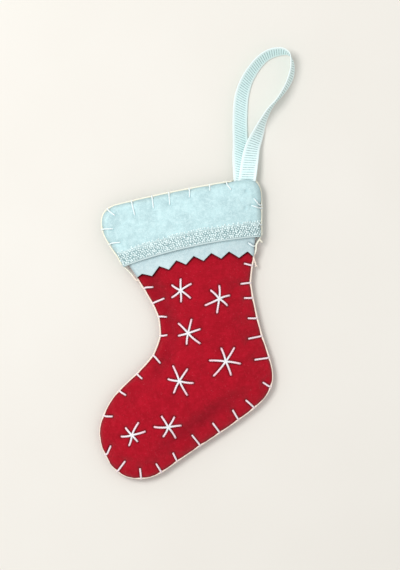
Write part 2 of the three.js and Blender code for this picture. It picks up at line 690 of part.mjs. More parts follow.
function bootStitching() {
  const pointAt = (along) => edgeThreadPoint(bootLine, along);
  const pieces = [edgeThread(pointAt, bootThreadShares, bootThreadStepCount)];
  for (const stitch of bootStitchShares) {
    pieces.push(stitchOverRim(bootLine, stitch, bootStitchLength, bootFace, backPanelOuter));
  }
  // The loose end that hangs beside the calf, with its knot
  const { point, tangent, outward } = edgeFrame(bootLine, lastOf(bootStitchShares).along);
  const root = point.clone().addScaledVector(outward, threadClearance);
  root.z = seamHeight;
  const tip = root.clone().addScaledVector(outward, threadClearance * 2).addScaledVector(tangent, -looseEndLength);
  tip.z = knotDiameter;
  const middle = root.clone().lerp(tip, 1 / 2).addScaledVector(outward, threadClearance);
  pieces.push(roundThread([root, middle, tip], stitchSideCount, legStepCount));
  const knot = new THREE.SphereGeometry(knotDiameter / 2, knotSideCount, knotRingCount);
  pieces.push(sealed(knot.translate(tip.x, tip.y, tip.z)));
  return fused(pieces);
}

function cuffStitching() {
  const pieces = [edgeThread(cuffThreadPoint, cuffThreadShares, cuffThreadStepCount)];
  for (const stitch of cuffStitchShares) {
    pieces.push(stitchOverRim(cuffLine, stitch, cuffStitchLength, cuffFace, cuffBackOuter));
  }
  // The end of the thread, cut off short at the calf
  const root = edgeThreadPoint(cuffLine, cuffThreadShares[0]);
  const tip = root.clone().add(new THREE.Vector3(threadClearance, -cutEndLength, -threadClearance));
  pieces.push(roundThread([root, root.clone().lerp(tip, 1 / 2), tip], stitchSideCount, 2));
  return fused(pieces);
}

// Three long stitches from tip to opposite tip, each a little higher where it crosses the ones before it
function snowflake({ x, y, tips }) {
  const centre = new THREE.Vector2(x * stockingWidth, y * stockingHeight);
  const tipPoints = tips.map(([angle, share]) => {
    const arm = new THREE.Vector2(snowflakeArm * share, 0);
    return arm.rotateAround(new THREE.Vector2(), THREE.MathUtils.degToRad(angle)).add(centre);
  });
  const stitches = [0, 1, 2].map((order) => {
    const points = evenShares(snowflakeStepCount).map((share) => {
      const fromCentre = Math.abs(2 * share - 1);
      const spot = centre.clone().lerp(tipPoints[share < 0.5 ? order : order + 3], fromCentre);
      const rise = (1 - fromCentre) * order * threadRadius / 2;
      return new THREE.Vector3(spot.x, spot.y, frontPanelOuter(spot.x, spot.y) + threadClearance + rise);
    });
    return roundThread(points, stitchSideCount, snowflakeStepCount);
  });
  return fused(stitches);
}

// The ornament

const ornament = new THREE.Group();

function addPiece(name, geometry, material) {
  const mesh = new THREE.Mesh(geometry, material);
  mesh.name = name;
  ornament.add(mesh);
}

addPiece("back_panel", closedSheet(bootGrid, backPanelOuter, backPanelInner), redFelt);
addPiece("front_panel", closedSheet(bootGrid, frontPanelInner, frontPanelOuter), redFelt);
addPiece("stuffing", closedSheet(
  stuffingGrid(),
  (x, y) => backPanelInner(x, y) + layerGap,
  (x, y) => frontPanelInner(x, y) - layerGap,
), fibre);
addPiece("cuff_underlay", closedSheet(underlayGrid(), underlayInner, underlayOuter), underFelt);
addPiece("cuff_front", closedSheet(cuffGrid, cuffFrontInner, cuffFrontOuter), whiteFelt);
addPiece("cuff_back", closedSheet(cuffGrid, cuffBackOuter, cuffBackInner), whiteFelt);
addPiece("silver_braid", closedSheet(
  braidGrid(),
  braidInner,
  braidOuter,
), silver);
addPiece("ribbon_sewn_end", ribbonSewnEnd(), grosgrain);
addPiece("ribbon_loop", bandThrough(ribbonStations(), ribbonWidth, ribbonThickness), grosgrain);
addPiece("boot_stitching", bootStitching(), cotton);
addPiece("cuff_stitching", cuffStitching(), cotton);
snowflakeShares.forEach((star, index) => addPiece(`snowflake_${index + 1}`, snowflake(star), cotton));

export default ornament;
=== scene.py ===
# %% [markdown]
# A small stocking to hang on a tree, cut from red felt, sewn round its edge by hand and stuffed with fibre.
# It has a white felt cuff with a silver braid, a ribbon loop, and seven snowflakes of cotton thread.
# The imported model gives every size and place. This lesson dresses it: each plain solid gets a finer piece
# that stands where the solid stands, so the finished ornament keeps the measures of the plan.

import math
import random

import bmesh
import bpy
import numpy as np
from mathutils import Matrix, Vector, noise
from mathutils.bvhtree import BVHTree
from mathutils.kdtree import KDTree


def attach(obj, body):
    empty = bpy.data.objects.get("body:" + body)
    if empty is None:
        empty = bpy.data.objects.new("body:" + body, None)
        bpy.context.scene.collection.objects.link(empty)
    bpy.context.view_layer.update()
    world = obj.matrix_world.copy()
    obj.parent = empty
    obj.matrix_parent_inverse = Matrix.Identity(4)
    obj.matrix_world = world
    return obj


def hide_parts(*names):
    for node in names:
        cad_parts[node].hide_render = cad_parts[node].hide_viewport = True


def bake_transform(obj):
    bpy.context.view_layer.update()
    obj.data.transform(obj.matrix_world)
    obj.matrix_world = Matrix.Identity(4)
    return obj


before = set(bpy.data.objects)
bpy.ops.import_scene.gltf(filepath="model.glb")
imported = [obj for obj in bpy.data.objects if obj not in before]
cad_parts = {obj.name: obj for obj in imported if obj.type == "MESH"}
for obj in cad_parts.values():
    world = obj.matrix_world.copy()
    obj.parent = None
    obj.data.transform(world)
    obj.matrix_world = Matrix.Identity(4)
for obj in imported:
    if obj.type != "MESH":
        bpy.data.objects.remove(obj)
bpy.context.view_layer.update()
MM = 0.001

# %% [markdown]
# The picture is taken from straight above the table, with the stocking leaning ten degrees to the left. A
# long lens keeps the near and far parts at one scale. The camera could also be aimed with a constraint, but
# one position and one turn say the same with nothing left to solve.

# %% Camera above the table
CAMERA_HEIGHT = 900 * MM
PICTURE_HEIGHT = 228 * MM
PICTURE_CENTRE = (3.1 * MM, 17.7 * MM)
PICTURE_TURN = math.radians(-10)


def link(thing):
    bpy.context.scene.collection.objects.link(thing)
    return thing


camera = link(bpy.data.objects.new("camera", bpy.data.cameras.new("camera")))
camera.data.lens = camera.data.sensor_width * CAMERA_HEIGHT / PICTURE_HEIGHT
camera.location = (*PICTURE_CENTRE, CAMERA_HEIGHT)
camera.rotation_euler = (0, 0, PICTURE_TURN)
bpy.context.scene.camera = camera
print("lens", round(camera.data.lens, 1), "mm")

# %% [markdown]
# Felt has no gloss, so its form shows only through soft shade. A wide lamp on the upper left draws the swell
# of the stuffing and throws one soft shadow, and an even pale sky fills the rest. One large lamp is enough:
# more lamps would wash out the dents of the stitches.

# %% Light
LAMP_POWER = 2.6
LAMP_SIZE = 260 * MM
LAMP_PLACE = Vector((-250 * MM, 240 * MM, 640 * MM))
SKY_STRENGTH = 0.74

lamp = link(bpy.data.objects.new("window_light", bpy.data.lights.new("window_light", "AREA")))
lamp.data.size = LAMP_SIZE
lamp.data.energy = LAMP_POWER
lamp.location = LAMP_PLACE
lamp.rotation_euler = (-LAMP_PLACE).to_track_quat("-Z", "Y").to_euler()
sky = bpy.data.worlds.new("pale_sky")
sky.use_nodes = True
sky.node_tree.nodes["Background"].inputs["Color"].default_value = (1, 1, 1, 1)
sky.node_tree.nodes["Background"].inputs["Strength"].default_value = SKY_STRENGTH
bpy.context.scene.world = sky
bpy.context.scene.view_settings.view_transform = "Standard"
print("lamp", round(LAMP_PLACE.length, 2), "m away")

# %% [markdown]
# Every finish here is a set of shader nodes. Written as plain calls, even simple sums of sockets become
# long, so a small class wraps a socket and lets it be added, multiplied and compared like a number.

# %% A socket that can be used in sums
class Wire:
    def __init__(self, tree, socket):
        self.tree = tree
        self.socket = socket

    def maths(self, operation, other):
        return add_node(self.tree, "ShaderNodeMath", {"operation": operation}, {0: self, 1: other})

    def __add__(self, other):
        return self.maths("ADD", other)

    def __mul__(self, other):
        return self.maths("MULTIPLY", other)

    def __gt__(self, other):
        return self.maths("GREATER_THAN", other)

    def between(self, low, high):
        """Nought at low, one at high and even in between."""
        limits = {"Value": self, "From Min": low, "From Max": high}
        return add_node(self.tree, "ShaderNodeMapRange", {"clamp": True}, limits)


def add_node(tree, kind, settings, inputs, output=0):
    """Adds one node: its settings first, then the values or links of its inputs. Gives back one output."""
    node = tree.nodes.new(kind)
    for name, value in settings.items():
        setattr(node, name, value)
    for name, value in inputs.items():
        if isinstance(value, Wire):
            tree.links.new(value.socket, node.inputs[name])
        else:
            node.inputs[name].default_value = value
    return Wire(tree, node.outputs[output])


def paint(red, green, blue):
    """A colour as a paint chart gives it, from 0 to 255, in the linear values that a shader takes."""
    shares = [value / 255 for value in (red, green, blue)]
    linear = [((share + 0.055) / 1.055) ** 2.4 if share > 0.04045 else share / 12.92 for share in shares]
    return (*linear, 1)


def mix(share, first, second):
    inputs = {0: share, 6: first, 7: second}
    return add_node(share.tree, "ShaderNodeMix", {"data_type": "RGBA"}, inputs, output=2)


def speckle(place, size, detail, stretch=(1, 1, 1)):
    """Smooth random grey of about the given size in metres."""
    stretched = add_node(place.tree, "ShaderNodeMapping", {}, {"Vector": place, "Scale": stretch})
    inputs = {"Vector": stretched, "Scale": 1 / size, "Detail": detail}
    return add_node(place.tree, "ShaderNodeTexNoise", {}, inputs)


def new_finish(name):
    material = bpy.data.materials.new(name)
    material.use_nodes = True
    material.node_tree.nodes.clear()
    return material, add_node(material.node_tree, "ShaderNodeTexCoord", {}, {}, output="Object")


def kept_number(material, name):
    """A number that a piece keeps on its points."""
    settings = {"attribute_name": name}
    return add_node(material.node_tree, "ShaderNodeAttribute", settings, {}, output="Fac")


def finish_with(material, colour, roughness, height=None, depth=0, **uniform):
    """Puts the surface shader in, with a bump where a height is given, and uniform values by socket name."""
    tree = material.node_tree
    inputs = {"Base Color": colour, "Roughness": roughness}
    inputs.update({name.replace("_", " "): value for name, value in uniform.items()})
    if height is not None:
        inputs["Normal"] = add_node(tree, "ShaderNodeBump", {}, {"Height": height, "Distance": depth})
    surface = add_node(tree, "ShaderNodeBsdfPrincipled", {}, inputs)
    output = tree.nodes.new("ShaderNodeOutputMaterial")
    tree.links.new(surface.socket, output.inputs["Surface"])
    return material


# %% [markdown]
# Felt is a mat of short fibres that lie every way. From near it is a fine grain with long fibres across it.
# From further off it is cloudy, because the mat is thicker in some places, and it carries a little pale lint.
# Where a thread, a seam or a trough dents the felt, shade is painted into its colour: each sheet keeps a
# crease number on its points, and the colour darkens by it towards a painted-shade colour. A bump has the
# grain, which is far finer than any mesh could be.

# %% Felt finish
FIBRE_SIZE = 0.16 * MM
FIBRE_STRETCHES = ((0.22, 1, 1), (1, 0.22, 1))
STRAND_SIZE = 0.55 * MM
STRAND_STRETCHES = ((0.16, 1, 1), (1, 0.16, 1))
STRAND_FLOOR = 0.66
STRAND_SHARE = 0.3
FELT_GRAIN_SIZE = 0.42 * MM
GRAIN_SHARE = 0.3
FELT_TUFT_SIZE = 1.5 * MM
TUFT_SHARE = 0.55
FELT_CLOUD_SIZE = 5.5 * MM
MAT_SHARE = 0.55
CLOUD_LIMITS = (0.35, 0.65)
DARK_TUFT_LIMITS = (0.5, 0.3)
LIGHT_TUFT_LIMITS = (0.5, 0.7)
MAT_LIMITS = (0.42, 0.7)
DARK_GRAIN_LIMITS = (0.5, 0.32)
CREASE_SHADE_LIMITS = (0.1, 1)
MAT_HEIGHT = 0.6
GRAIN_HEIGHT = 0.8
LINT_SHARE = 0.8
RED_LINT_FLOOR = 0.78
WHITE_LINT_FLOOR = 0.7
FELT_BUMP_DEPTH = 0.16 * MM
FELT_ROUGHNESS = 0.94
# Each row: painted crease shade, then the deep, mid, light and lint colours.
FELT_COLOURS = {
    "red_felt": ((74, 2, 16), (153, 4, 25), (171, 7, 31), (184, 17, 42), (236, 150, 162)),
    "white_felt": ((150, 178, 184), (173, 203, 207), (193, 225, 228), (212, 239, 241), (238, 248, 248)),
    # Painted shade: the under layer's white felt is painted greyer and pinker than the cuff's.
    "white_felt_under": (
        (140, 160, 170), (182, 205, 210), (198, 220, 223), (211, 229, 231), (228, 226, 230),
    ),
}


def felt_finish(name, lint_floor):
    crease_shade, deep, mid, light, lint = (paint(*colour) for colour in FELT_COLOURS[name])
    material, place = new_finish(name)
    cloud = speckle(place, FELT_CLOUD_SIZE, 4)
    tufts = speckle(place, FELT_TUFT_SIZE, 5)
    grain = speckle(place, FELT_GRAIN_SIZE, 3)
    strands = [speckle(place, STRAND_SIZE, 1, stretch) > STRAND_FLOOR for stretch in STRAND_STRETCHES]
    fibres = [speckle(place, FIBRE_SIZE, 1, stretch) for stretch in FIBRE_STRETCHES]
    mat = fibres[0] * 0.5 + fibres[1] * 0.5
    specks = (fibres[0] > lint_floor) + (fibres[1] > lint_floor)
    colour = mix(cloud.between(*CLOUD_LIMITS), deep, mid)
    colour = mix(tufts.between(*DARK_TUFT_LIMITS) * TUFT_SHARE, colour, deep)
    colour = mix(tufts.between(*LIGHT_TUFT_LIMITS) * TUFT_SHARE, colour, light)
    colour = mix((strands[0] + strands[1]).between(0, 1) * STRAND_SHARE, colour, light)
    colour = mix(mat.between(*MAT_LIMITS) * MAT_SHARE, colour, light)
    colour = mix(grain.between(*DARK_GRAIN_LIMITS) * GRAIN_SHARE, colour, deep)
    colour = mix(specks.between(0, 2) * LINT_SHARE, colour, lint)
    # Painted shade: the colour darkens by the crease number where the felt is dented.
    colour = mix(kept_number(material, "crease").between(*CREASE_SHADE_LIMITS), colour, crease_shade)
    height = mat * MAT_HEIGHT + grain * GRAIN_HEIGHT
    return finish_with(
        material, colour, FELT_ROUGHNESS, height, FELT_BUMP_DEPTH,
        Sheen_Weight=0.12, Sheen_Roughness=0.5, Specular_IOR_Level=0.15,
    )


red_felt = felt_finish("red_felt", RED_LINT_FLOOR)
white_felt = felt_finish("white_felt", WHITE_LINT_FLOOR)
# The under layer's finish is the white felt painted greyer and pinker, as painted shade.
white_felt_under = felt_finish("white_felt_under", WHITE_LINT_FLOOR)
print("felt finishes", [felt.name for felt in (red_felt, white_felt, white_felt_under)])

# %% [markdown]
# Cotton thread is a cool white with hardly any gloss. Where it was drawn through the red felt it took up red
# lint, and along the rim hands have made it creamy, so two numbers on its points say how much of each it has.
# The ribbon is woven from smoother yarn; its ribs are painted light on top and dark in the valleys, as
# painted highlight and painted shade, and pale specks on it are a painted sheen. The braid is wound with flat
# metal foil: each knot's brightness is a painted glint kept on its points, and the band under the knots is
# painted dark as painted shade in the gaps.

# %% Thread, ribbon, braid and fibre finishes
WISP_SIZE = 0.12 * MM
COTTON_BUMP = 0.05 * MM
YARN_AND_SHEEN_SIZE = 0.3 * MM
UNEVEN_RIB_SHADE_SIZE = 0.6 * MM
RIBBON_BUMP = 0.03 * MM
SCRATCH_SIZE = 0.15 * MM
BRAID_BUMP = 0.03 * MM
FILLING_SIZE = 0.4 * MM
FILLING_STRETCH = (0.3, 1, 1)
FILLING_BUMP = 0.3 * MM


def cotton_finish():
    material, place = new_finish("cotton_thread")
    wisps = speckle(place, WISP_SIZE, 2)
    colour = mix(wisps.between(0.35, 0.65), paint(236, 250, 252), paint(247, 255, 255))
    colour = mix(kept_number(material, "blush"), colour, paint(255, 206, 218))
    colour = mix(kept_number(material, "cream"), colour, paint(255, 244, 214))
    return finish_with(material, colour, 0.75, wisps, COTTON_BUMP, Sheen_Weight=0.1)


def ribbon_finish():
    material, place = new_finish("grosgrain")
    shine = speckle(place, YARN_AND_SHEEN_SIZE, 2)
    ribs = kept_number(material, "ridge") + speckle(place, UNEVEN_RIB_SHADE_SIZE, 3) * 0.5
    # Painted highlight on the ribs and painted shade in the valleys between them.
    colour = mix(ribs.between(0.22, 0.68), paint(130, 162, 165), paint(229, 254, 254))
    # Painted sheen: pale specks on the ribbon.
    colour = mix(shine.between(0.5, 0.7) * 0.3, colour, paint(246, 254, 252))
    colour = mix(kept_number(material, "selvedge"), colour, paint(240, 251, 250))
    return finish_with(material, colour, 0.42, shine, RIBBON_BUMP, Sheen_Weight=0.1)


def braid_finish():
    material, place = new_finish("metallic_braid")
    scratch = speckle(place, SCRATCH_SIZE, 2)
    # Dark is painted shade in the gaps between knots, bright is a painted glint on the knots.
    colour = mix(kept_number(material, "glint_and_gap_shade"), paint(136, 167, 170), paint(239, 255, 255))
    return finish_with(material, colour, scratch * 0.3 + 0.3, scratch, BRAID_BUMP, Metallic=0.12)


def fibre_finish():
    material, place = new_finish("polyester_fibre")
    strands = speckle(place, FILLING_SIZE, 4, FILLING_STRETCH)
    colour = mix(strands.between(0.3, 0.7), paint(226, 226, 222), paint(250, 250, 246))
    return finish_with(material, colour, 0.9, strands, FILLING_BUMP)


cotton_thread = cotton_finish()
grosgrain = ribbon_finish()
metallic_braid = braid_finish()
polyester_fibre = fibre_finish()
print("finishes", [finish.name for finish in (cotton_thread, grosgrain, metallic_braid, polyester_fibre)])

# %% [markdown]
# The table is not part of the ornament. It is one flat pale sheet, big enough for a low view, with a colour
# that hardly tints what lies on it.

# %% Pale table
TABLE_SIZE = 3000 * MM
TABLE_DROP = 0.05 * MM
TABLE_CLOUD_SIZE = 60 * MM


def table_finish():
    material, place = new_finish("pale_table")
    colour = mix(speckle(place, TABLE_CLOUD_SIZE, 2), paint(226, 222, 214), paint(232, 229, 222))
    return finish_with(material, colour, 0.8)


def make_piece(name, shape, material):
    """Turns a bmesh into a smooth-shaded object at the origin and frees the bmesh."""
    mesh = bpy.data.meshes.new(name)
    shape.to_mesh(mesh)
    shape.free()
    mesh.materials.append(material)
    mesh.shade_smooth()
    piece = link(bpy.data.objects.new(name, mesh))
    return piece


table_top = bmesh.new()
bmesh.ops.create_grid(table_top, x_segments=1, y_segments=1, size=TABLE_SIZE / 2)
bmesh.ops.translate(table_top, verts=table_top.verts, vec=(0, 0, -TABLE_DROP))
make_piece("table_top", table_top, table_finish())
print("table", TABLE_SIZE, "m wide")

# %% [markdown]
# Each felt panel of the plan is a closed shell of triangles. A finer panel starts from its outside face
# alone: the face is cut out of a merged copy, its triangles are joined back to four-sided faces, and
# subdivision rounds it. It is worked as a single thin sheet, where a dent is one move of a point, and gets
# its thickness last.

# %% Outside face of a felt panel
STEEPEST_FELT = 0.3
MERGE_DISTANCE = 0.001 * MM


def shape_of(mesh):
    shape = bmesh.new()
    shape.from_mesh(mesh)
    return shape


def merged_shape(node):
    """A solid of the plan with the corners of its triangles joined."""
    shape = shape_of(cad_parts[node].data)
    bmesh.ops.remove_doubles(shape, verts=shape.verts, dist=MERGE_DISTANCE)
    return shape


def outside_face(node, side):
    """The face of a packed felt node that looks up (side 1) or down (side -1), as an open sheet of quads."""
    shape = merged_shape(node)
    shape.normal_update()
    others = [face for face in shape.faces if face.normal.z * side < STEEPEST_FELT]
    bmesh.ops.delete(shape, geom=others, context="FACES")
    any_angle = math.pi
    bmesh.ops.join_triangles(
        shape, faces=shape.faces, angle_face_threshold=any_angle, angle_shape_threshold=any_angle,
    )
    return shape


def bake_modifiers(piece):
    """Makes the look that the modifiers give the piece's own mesh."""
    graph = bpy.context.evaluated_depsgraph_get()
    mesh = bpy.data.meshes.new_from_object(piece.evaluated_get(graph))
    piece.modifiers.clear()
    piece.data = mesh


def subdivided(piece, levels):
    smooth = piece.modifiers.new("smooth", "SUBSURF")
    smooth.levels = levels
    smooth.render_levels = levels
    bake_modifiers(piece)
    return piece


def rim_of(piece):
    """The rim of an open sheet as points in order, without their heights."""
    shape = shape_of(piece.data)
    edge = next(edge for edge in shape.edges if edge.is_boundary)
    start, vertex = edge.verts
    rim = [start.co.to_2d()]
    while vertex != start:
        rim.append(vertex.co.to_2d())
        edge = next(other for other in vertex.link_edges if other.is_boundary and other != edge)
        vertex = edge.other_vert(vertex)
    shape.free()
    return np.array(rim)


def felt_sheet(name, shape, material, levels=3):
    piece = subdivided(make_piece(name, shape, material), levels)
    print(name, len(piece.data.vertices), "points in the sheet")
    return piece


boot_front = felt_sheet("boot_front_felt", outside_face("front_panel", 1), red_felt, levels=2)
boot_back = felt_sheet("boot_back_felt", outside_face("back_panel", -1), red_felt)
cuff_front = felt_sheet("cuff_front_felt", outside_face("cuff_front", 1), white_felt)
cuff_back = felt_sheet("cuff_back_felt", outside_face("cuff_back", -1), white_felt)

# %% [markdown]
# The under layer of the cuff has a pinked edge: pinking shears cut it to sharp teeth, so that the felt
# won't fray. Subdivision would round the teeth away. Points on its lower rim are creased, which holds them
# in place.

# %% Pinked under layer
TOOTH_ROW_HEIGHT = 32 * MM


def pinked_face():
    shape = outside_face("cuff_underlay", 1)
    crease = shape.verts.layers.float.new("crease_vert")
    for vertex in shape.verts:
        vertex[crease] = float(vertex.is_boundary and vertex.co.y < TOOTH_ROW_HEIGHT)
    return shape


cuff_underlay = felt_sheet("cuff_underlay_felt", pinked_face(), white_felt_under)

# %% [markdown]
# All sewing follows two edges: the boot's, from the top of the shin round the toe to the top of the calf,
# and the cuff's, from its lower right corner over the top to its lower left one. A stitch is then four
# shares: where it sits along the edge, how long it is, how far it leans along the edge, and how much of it
# shows behind. Each edge also knows how far outside the felt its rim thread runs, and how high.

# %% Edges and their stitches
BOOT_ENDS = ((-25.44 * MM, 52.75 * MM), (27.36 * MM, 53.65 * MM))
CUFF_ENDS = ((29.68 * MM, 32.48 * MM), (-25.12 * MM, 30.24 * MM))
BOOT_STITCH_LENGTH = 3.3 * MM
CUFF_STITCH_LENGTH = 3.6 * MM
BOOT_GAP = 0.75 * MM
CUFF_GAP = 0.95 * MM
SEAM_HEIGHT = 3.85 * MM
CUFF_SEAM_HEIGHT = 4.5 * MM
RIM_STEP = 0.04 * MM
LOOK_SHARE = 0.004
BOOT_STITCH_SHARES = [
    (0.128, 0.85, 0.4, 1), (0.153, 1.35, 0.15, 0.8), (0.175, 0.75, 0.25, 1), (0.203, 0.6, -0.15, 1.1),
    (0.235, 1.05, 0.3, 0.8), (0.271, 0.65, -0.05, 0.9), (0.306, 0.75, -0.15, 1), (0.348, 0.85, -0.3, 0.9),
    (0.405, 0.9, -0.65, 0.9), (0.434, 1.4, -0.05, 0.7), (0.469, 1.05, -0.05, 0.8), (0.499, 1, 0, 0.9),
    (0.527, 0.9, 0.15, 1), (0.567, 1.4, -0.1, 0.8), (0.601, 1.25, -0.05, 0.8), (0.634, 1.15, 0.1, 0.9),
    (0.662, 1.15, -0.15, 1), (0.7, 0.85, 0.2, 1.1), (0.742, 1.55, 0.25, 0.7), (0.775, 1.45, 0.15, 0.8),
    (0.802, 0.85, 0.2, 1), (0.832, 0.8, 0.15, 1.1), (0.854, 0.95, -0.05, 0.9), (0.88, 0.75, 0.05, 1),
    (0.908, 0.6, 0.3, 0),
]
CUFF_STITCH_SHARES = [
    (0.045, 0.65, 0.05, 1), (0.107, 0.9, 0.25, 0.9), (0.118, 0.65, 0.7, 0), (0.311, 0.75, -0.35, 0),
    (0.376, 0.4, 0.05, 1), (0.453, 0.75, 0.15, 0.9), (0.531, 1.15, 0.15, 0.8), (0.595, 1.15, 0.1, 0.8),
    (0.673, 1.45, 0, 0.6), (0.765, 0.9, -0.25, 0.9), (0.841, 1, 0.2, 0.9), (0.901, 0.95, 0.5, 0.8),
]


def lengths(vectors):
    return np.linalg.norm(vectors, axis=1)


def reach_along(points):
    """How far along a line each of its points is."""
    return np.concatenate([[0], np.cumsum(lengths(np.diff(points, axis=0)))])


def search_tree(points):
    """A tree that finds the nearest of some places. Flat places are taken at height nought."""
    tree = KDTree(len(points))
    for index, point in enumerate(points):
        tree.insert((*point, 0)[:3], index)
    tree.balance()
    return tree


class EdgeLine:
    """The part of a sheet's rim that is sewn, read by the share of its length, and how it is sewn."""

    def __init__(self, rim, ends, stitches, stitch_length, gap, seam):
        self.stitches = stitches
        self.stitch_length = stitch_length
        self.gap = gap
        self.seam = seam
        first, last = (np.argmin(lengths(rim - end)) for end in ends)
        rim = np.roll(rim, -first, axis=0)
        stop = (last - first) % len(rim)
        ways = rim[: stop + 1], np.vstack([rim[:1], rim[stop:][::-1]])
        self.points = max(ways, key=len)
        self.reach = reach_along(self.points)
        self.length = self.reach[-1]
        self.shares = np.linspace(0, 1, round(self.length / RIM_STEP))
        places, _, self.outward = self.frame(self.shares)
        self.tree = search_tree(places)

    def at(self, share):
        return np.array([np.interp(share * self.length, self.reach, line) for line in self.points.T]).T

    def frame(self, share):
        """The place at a share or shares, the way along the edge and the way out from the felt."""
        along = self.at(np.minimum(share + LOOK_SHARE, 1)) - self.at(np.maximum(share - LOOK_SHARE, 0))
        along /= np.linalg.norm(along, axis=-1, keepdims=True)
        return self.at(share), along, np.stack([along[..., 1], -along[..., 0]], axis=-1)

    def nearest(self, points):
        """How far each point is from the edge, the way out from the felt there, and the share there."""
        found = [self.tree.find((x, y, 0)) for x, y in points[:, :2]]
        nearest = [hit[1] for hit in found]
        return np.array([hit[2] for hit in found]), self.outward[nearest], self.shares[nearest]

    def stitch_line(self, stitch, side=1):
        """Where a stitch meets the edge and where its tip is, on the front (side 1) or the back (side -1)."""
        share, length, lean, behind = stitch
        root, along, outward = self.frame(share)
        shown = self.stitch_length * (1 if side > 0 else behind)
        return root, root + shown * (lean * along - length * outward)


boot_rim_points = rim_of(boot_front)
cuff_rim_points = rim_of(cuff_front)
boot_edge = EdgeLine(
    boot_rim_points, BOOT_ENDS, BOOT_STITCH_SHARES, BOOT_STITCH_LENGTH, BOOT_GAP, SEAM_HEIGHT,
)
cuff_edge = EdgeLine(
    cuff_rim_points, CUFF_ENDS, CUFF_STITCH_SHARES, CUFF_STITCH_LENGTH, CUFF_GAP, CUFF_SEAM_HEIGHT,
)
print("boot edge", round(boot_edge.length / MM), "mm, cuff edge", round(cuff_edge.length / MM), "mm")

# %% [markdown]
# The snowflakes are three long stitches each, and every one crosses its middle. Their tips are given as an
# angle and a share of an arm, because hand-made ones are all a little uneven.

# %% Snowflakes
STOCKING_SIZE = np.array((80 * MM, 112 * MM))
SNOWFLAKE_ARM = 5.2 * MM
SNOWFLAKE_SHARES = [
    ((-0.06, 0.151), [(80, 0.86), (22, 0.95), (-48, 0.95), (-98, 0.86), (-151, 0.85), (139, 0.77)]),
    ((0.121, 0.098), [(80, 1), (8, 0.82), (-50, 0.79), (-109, 1.09), (-165, 1.18), (125, 0.92)]),
    ((-0.061, -0.003), [(66, 1.1), (9, 0.98), (-50, 1.2), (-107, 0.85), (-175, 0.75), (124, 1.04)]),
    ((0.099, -0.124), [(48, 1.22), (-19, 1.13), (-79, 1.12), (-140, 1.45), (167, 1.24), (99, 1.06)]),
    ((-0.144, -0.164), [(46, 1.1), (-18, 1.06), (-71, 1.25), (-125, 1.01), (161, 0.88), (103, 1.24)]),
    ((-0.422, -0.323), [(52, 1.07), (5, 1.04), (-59, 0.64), (-115, 0.84), (179, 0.82), (122, 0.72)]),
    ((-0.238, -0.318), [(49, 0.9), (-3, 0.98), (-67, 1.02), (-128, 0.82), (169, 1.08), (112, 0.98)]),
]


def snowflake_arms(centre, tips):
    """The middle of a snowflake, and the six places where its thread goes through the felt."""
    middle = centre * STOCKING_SIZE
    turns = [(math.radians(angle), share * SNOWFLAKE_ARM) for angle, share in tips]
    return middle, [middle + reach * np.array([math.cos(turn), math.sin(turn)]) for turn, reach in turns]


snowflakes = [snowflake_arms(*shares) for shares in SNOWFLAKE_SHARES]
snowflake_lines = [(middle, tip) for middle, tips in snowflakes for tip in tips]
print(len(snowflakes), "snowflakes,", len(snowflake_lines), "arms")

# %% [markdown]
# A stuffed panel swells most where no thread holds it. That is a job for the cloth solver: the sheet is
# held at its rim, along its stitches and under the snowflakes, the stuffing pushes from inside, and the
# felt has a little more length than it needs, so it puffs and buckles between the places that are held. The
# solver is made for things the size of a cushion, so a copy of the sheet is worked at ten times its size.
# Only its moves are brought back, none further than a cap, and none under the cuff, where other layers lie
# on it.

# %% Puff the boot with cloth
CLOTH_SCALE = 10
CLOTH_FRAMES = 20
CLOTH_QUALITY = 6
CLOTH_PRESSURE = 4
CLOTH_SLACK = 0.035
HELD_WIDTH = 0.9 * MM
PUFF_CAP = 0.75 * MM
PUFF_FADE = 4 * MM
PUFF_TOP = 25 * MM


def from_segment(points, start, end):
    run = end - start
    share = np.clip(((points - start) @ run) / (run @ run), 0, 1)
    return lengths(points - start - share[:, None] * run)


def read_points(piece):
    points = np.empty(len(piece.data.vertices) * 3, np.float32)
    piece.data.vertices.foreach_get("co", points)
    return points.reshape(-1, 3).astype(float)


def write_points(piece, points):
    piece.data.vertices.foreach_set("co", points.astype(np.float32).ravel())
    piece.data.update()


def border_of(piece):
    """The numbers of the points on the border of an open sheet."""
    shape = shape_of(piece.data)
    border = [vertex.index for vertex in shape.verts if vertex.is_boundary]
    shape.free()
    return border


def held_points(piece, lines):
    """The numbers of the points of a sheet that are on its rim or under a thread."""
    flat = read_points(piece)[:, :2]
    held = np.zeros(len(flat), bool)
    held[border_of(piece)] = True
    for start, end in lines:
        held |= from_segment(flat, start, end) < HELD_WIDTH
    return np.flatnonzero(held).tolist()


def puff_with_cloth(piece, lines):
    """How far each point of the sheet moves when the stuffing pushes it out between its threads."""
    model = link(bpy.data.objects.new("cloth_model", piece.data.copy()))
    write_points(model, read_points(piece) * CLOTH_SCALE)
    model.vertex_groups.new(name="held").add(held_points(piece, lines), 1, "REPLACE")
    cloth = model.modifiers.new("cloth", "CLOTH").settings
    cloth.quality = CLOTH_QUALITY
    cloth.vertex_group_mass = "held"
    cloth.use_pressure = True
    cloth.uniform_pressure_force = CLOTH_PRESSURE
    cloth.shrink_min = -CLOTH_SLACK
    cloth.effector_weights.gravity = 0
    for moment in range(1, CLOTH_FRAMES + 1):
        bpy.context.scene.frame_set(moment)
    bake_modifiers(model)
    moves = read_points(model) / CLOTH_SCALE - read_points(piece)
    bpy.context.scene.frame_set(1)
    bpy.data.objects.remove(model)
    far = lengths(moves)
    print("cloth moves up to", round(float(far.max()) / MM, 2), "mm")
    return moves * (PUFF_CAP / np.maximum(far, PUFF_CAP))[:, None]


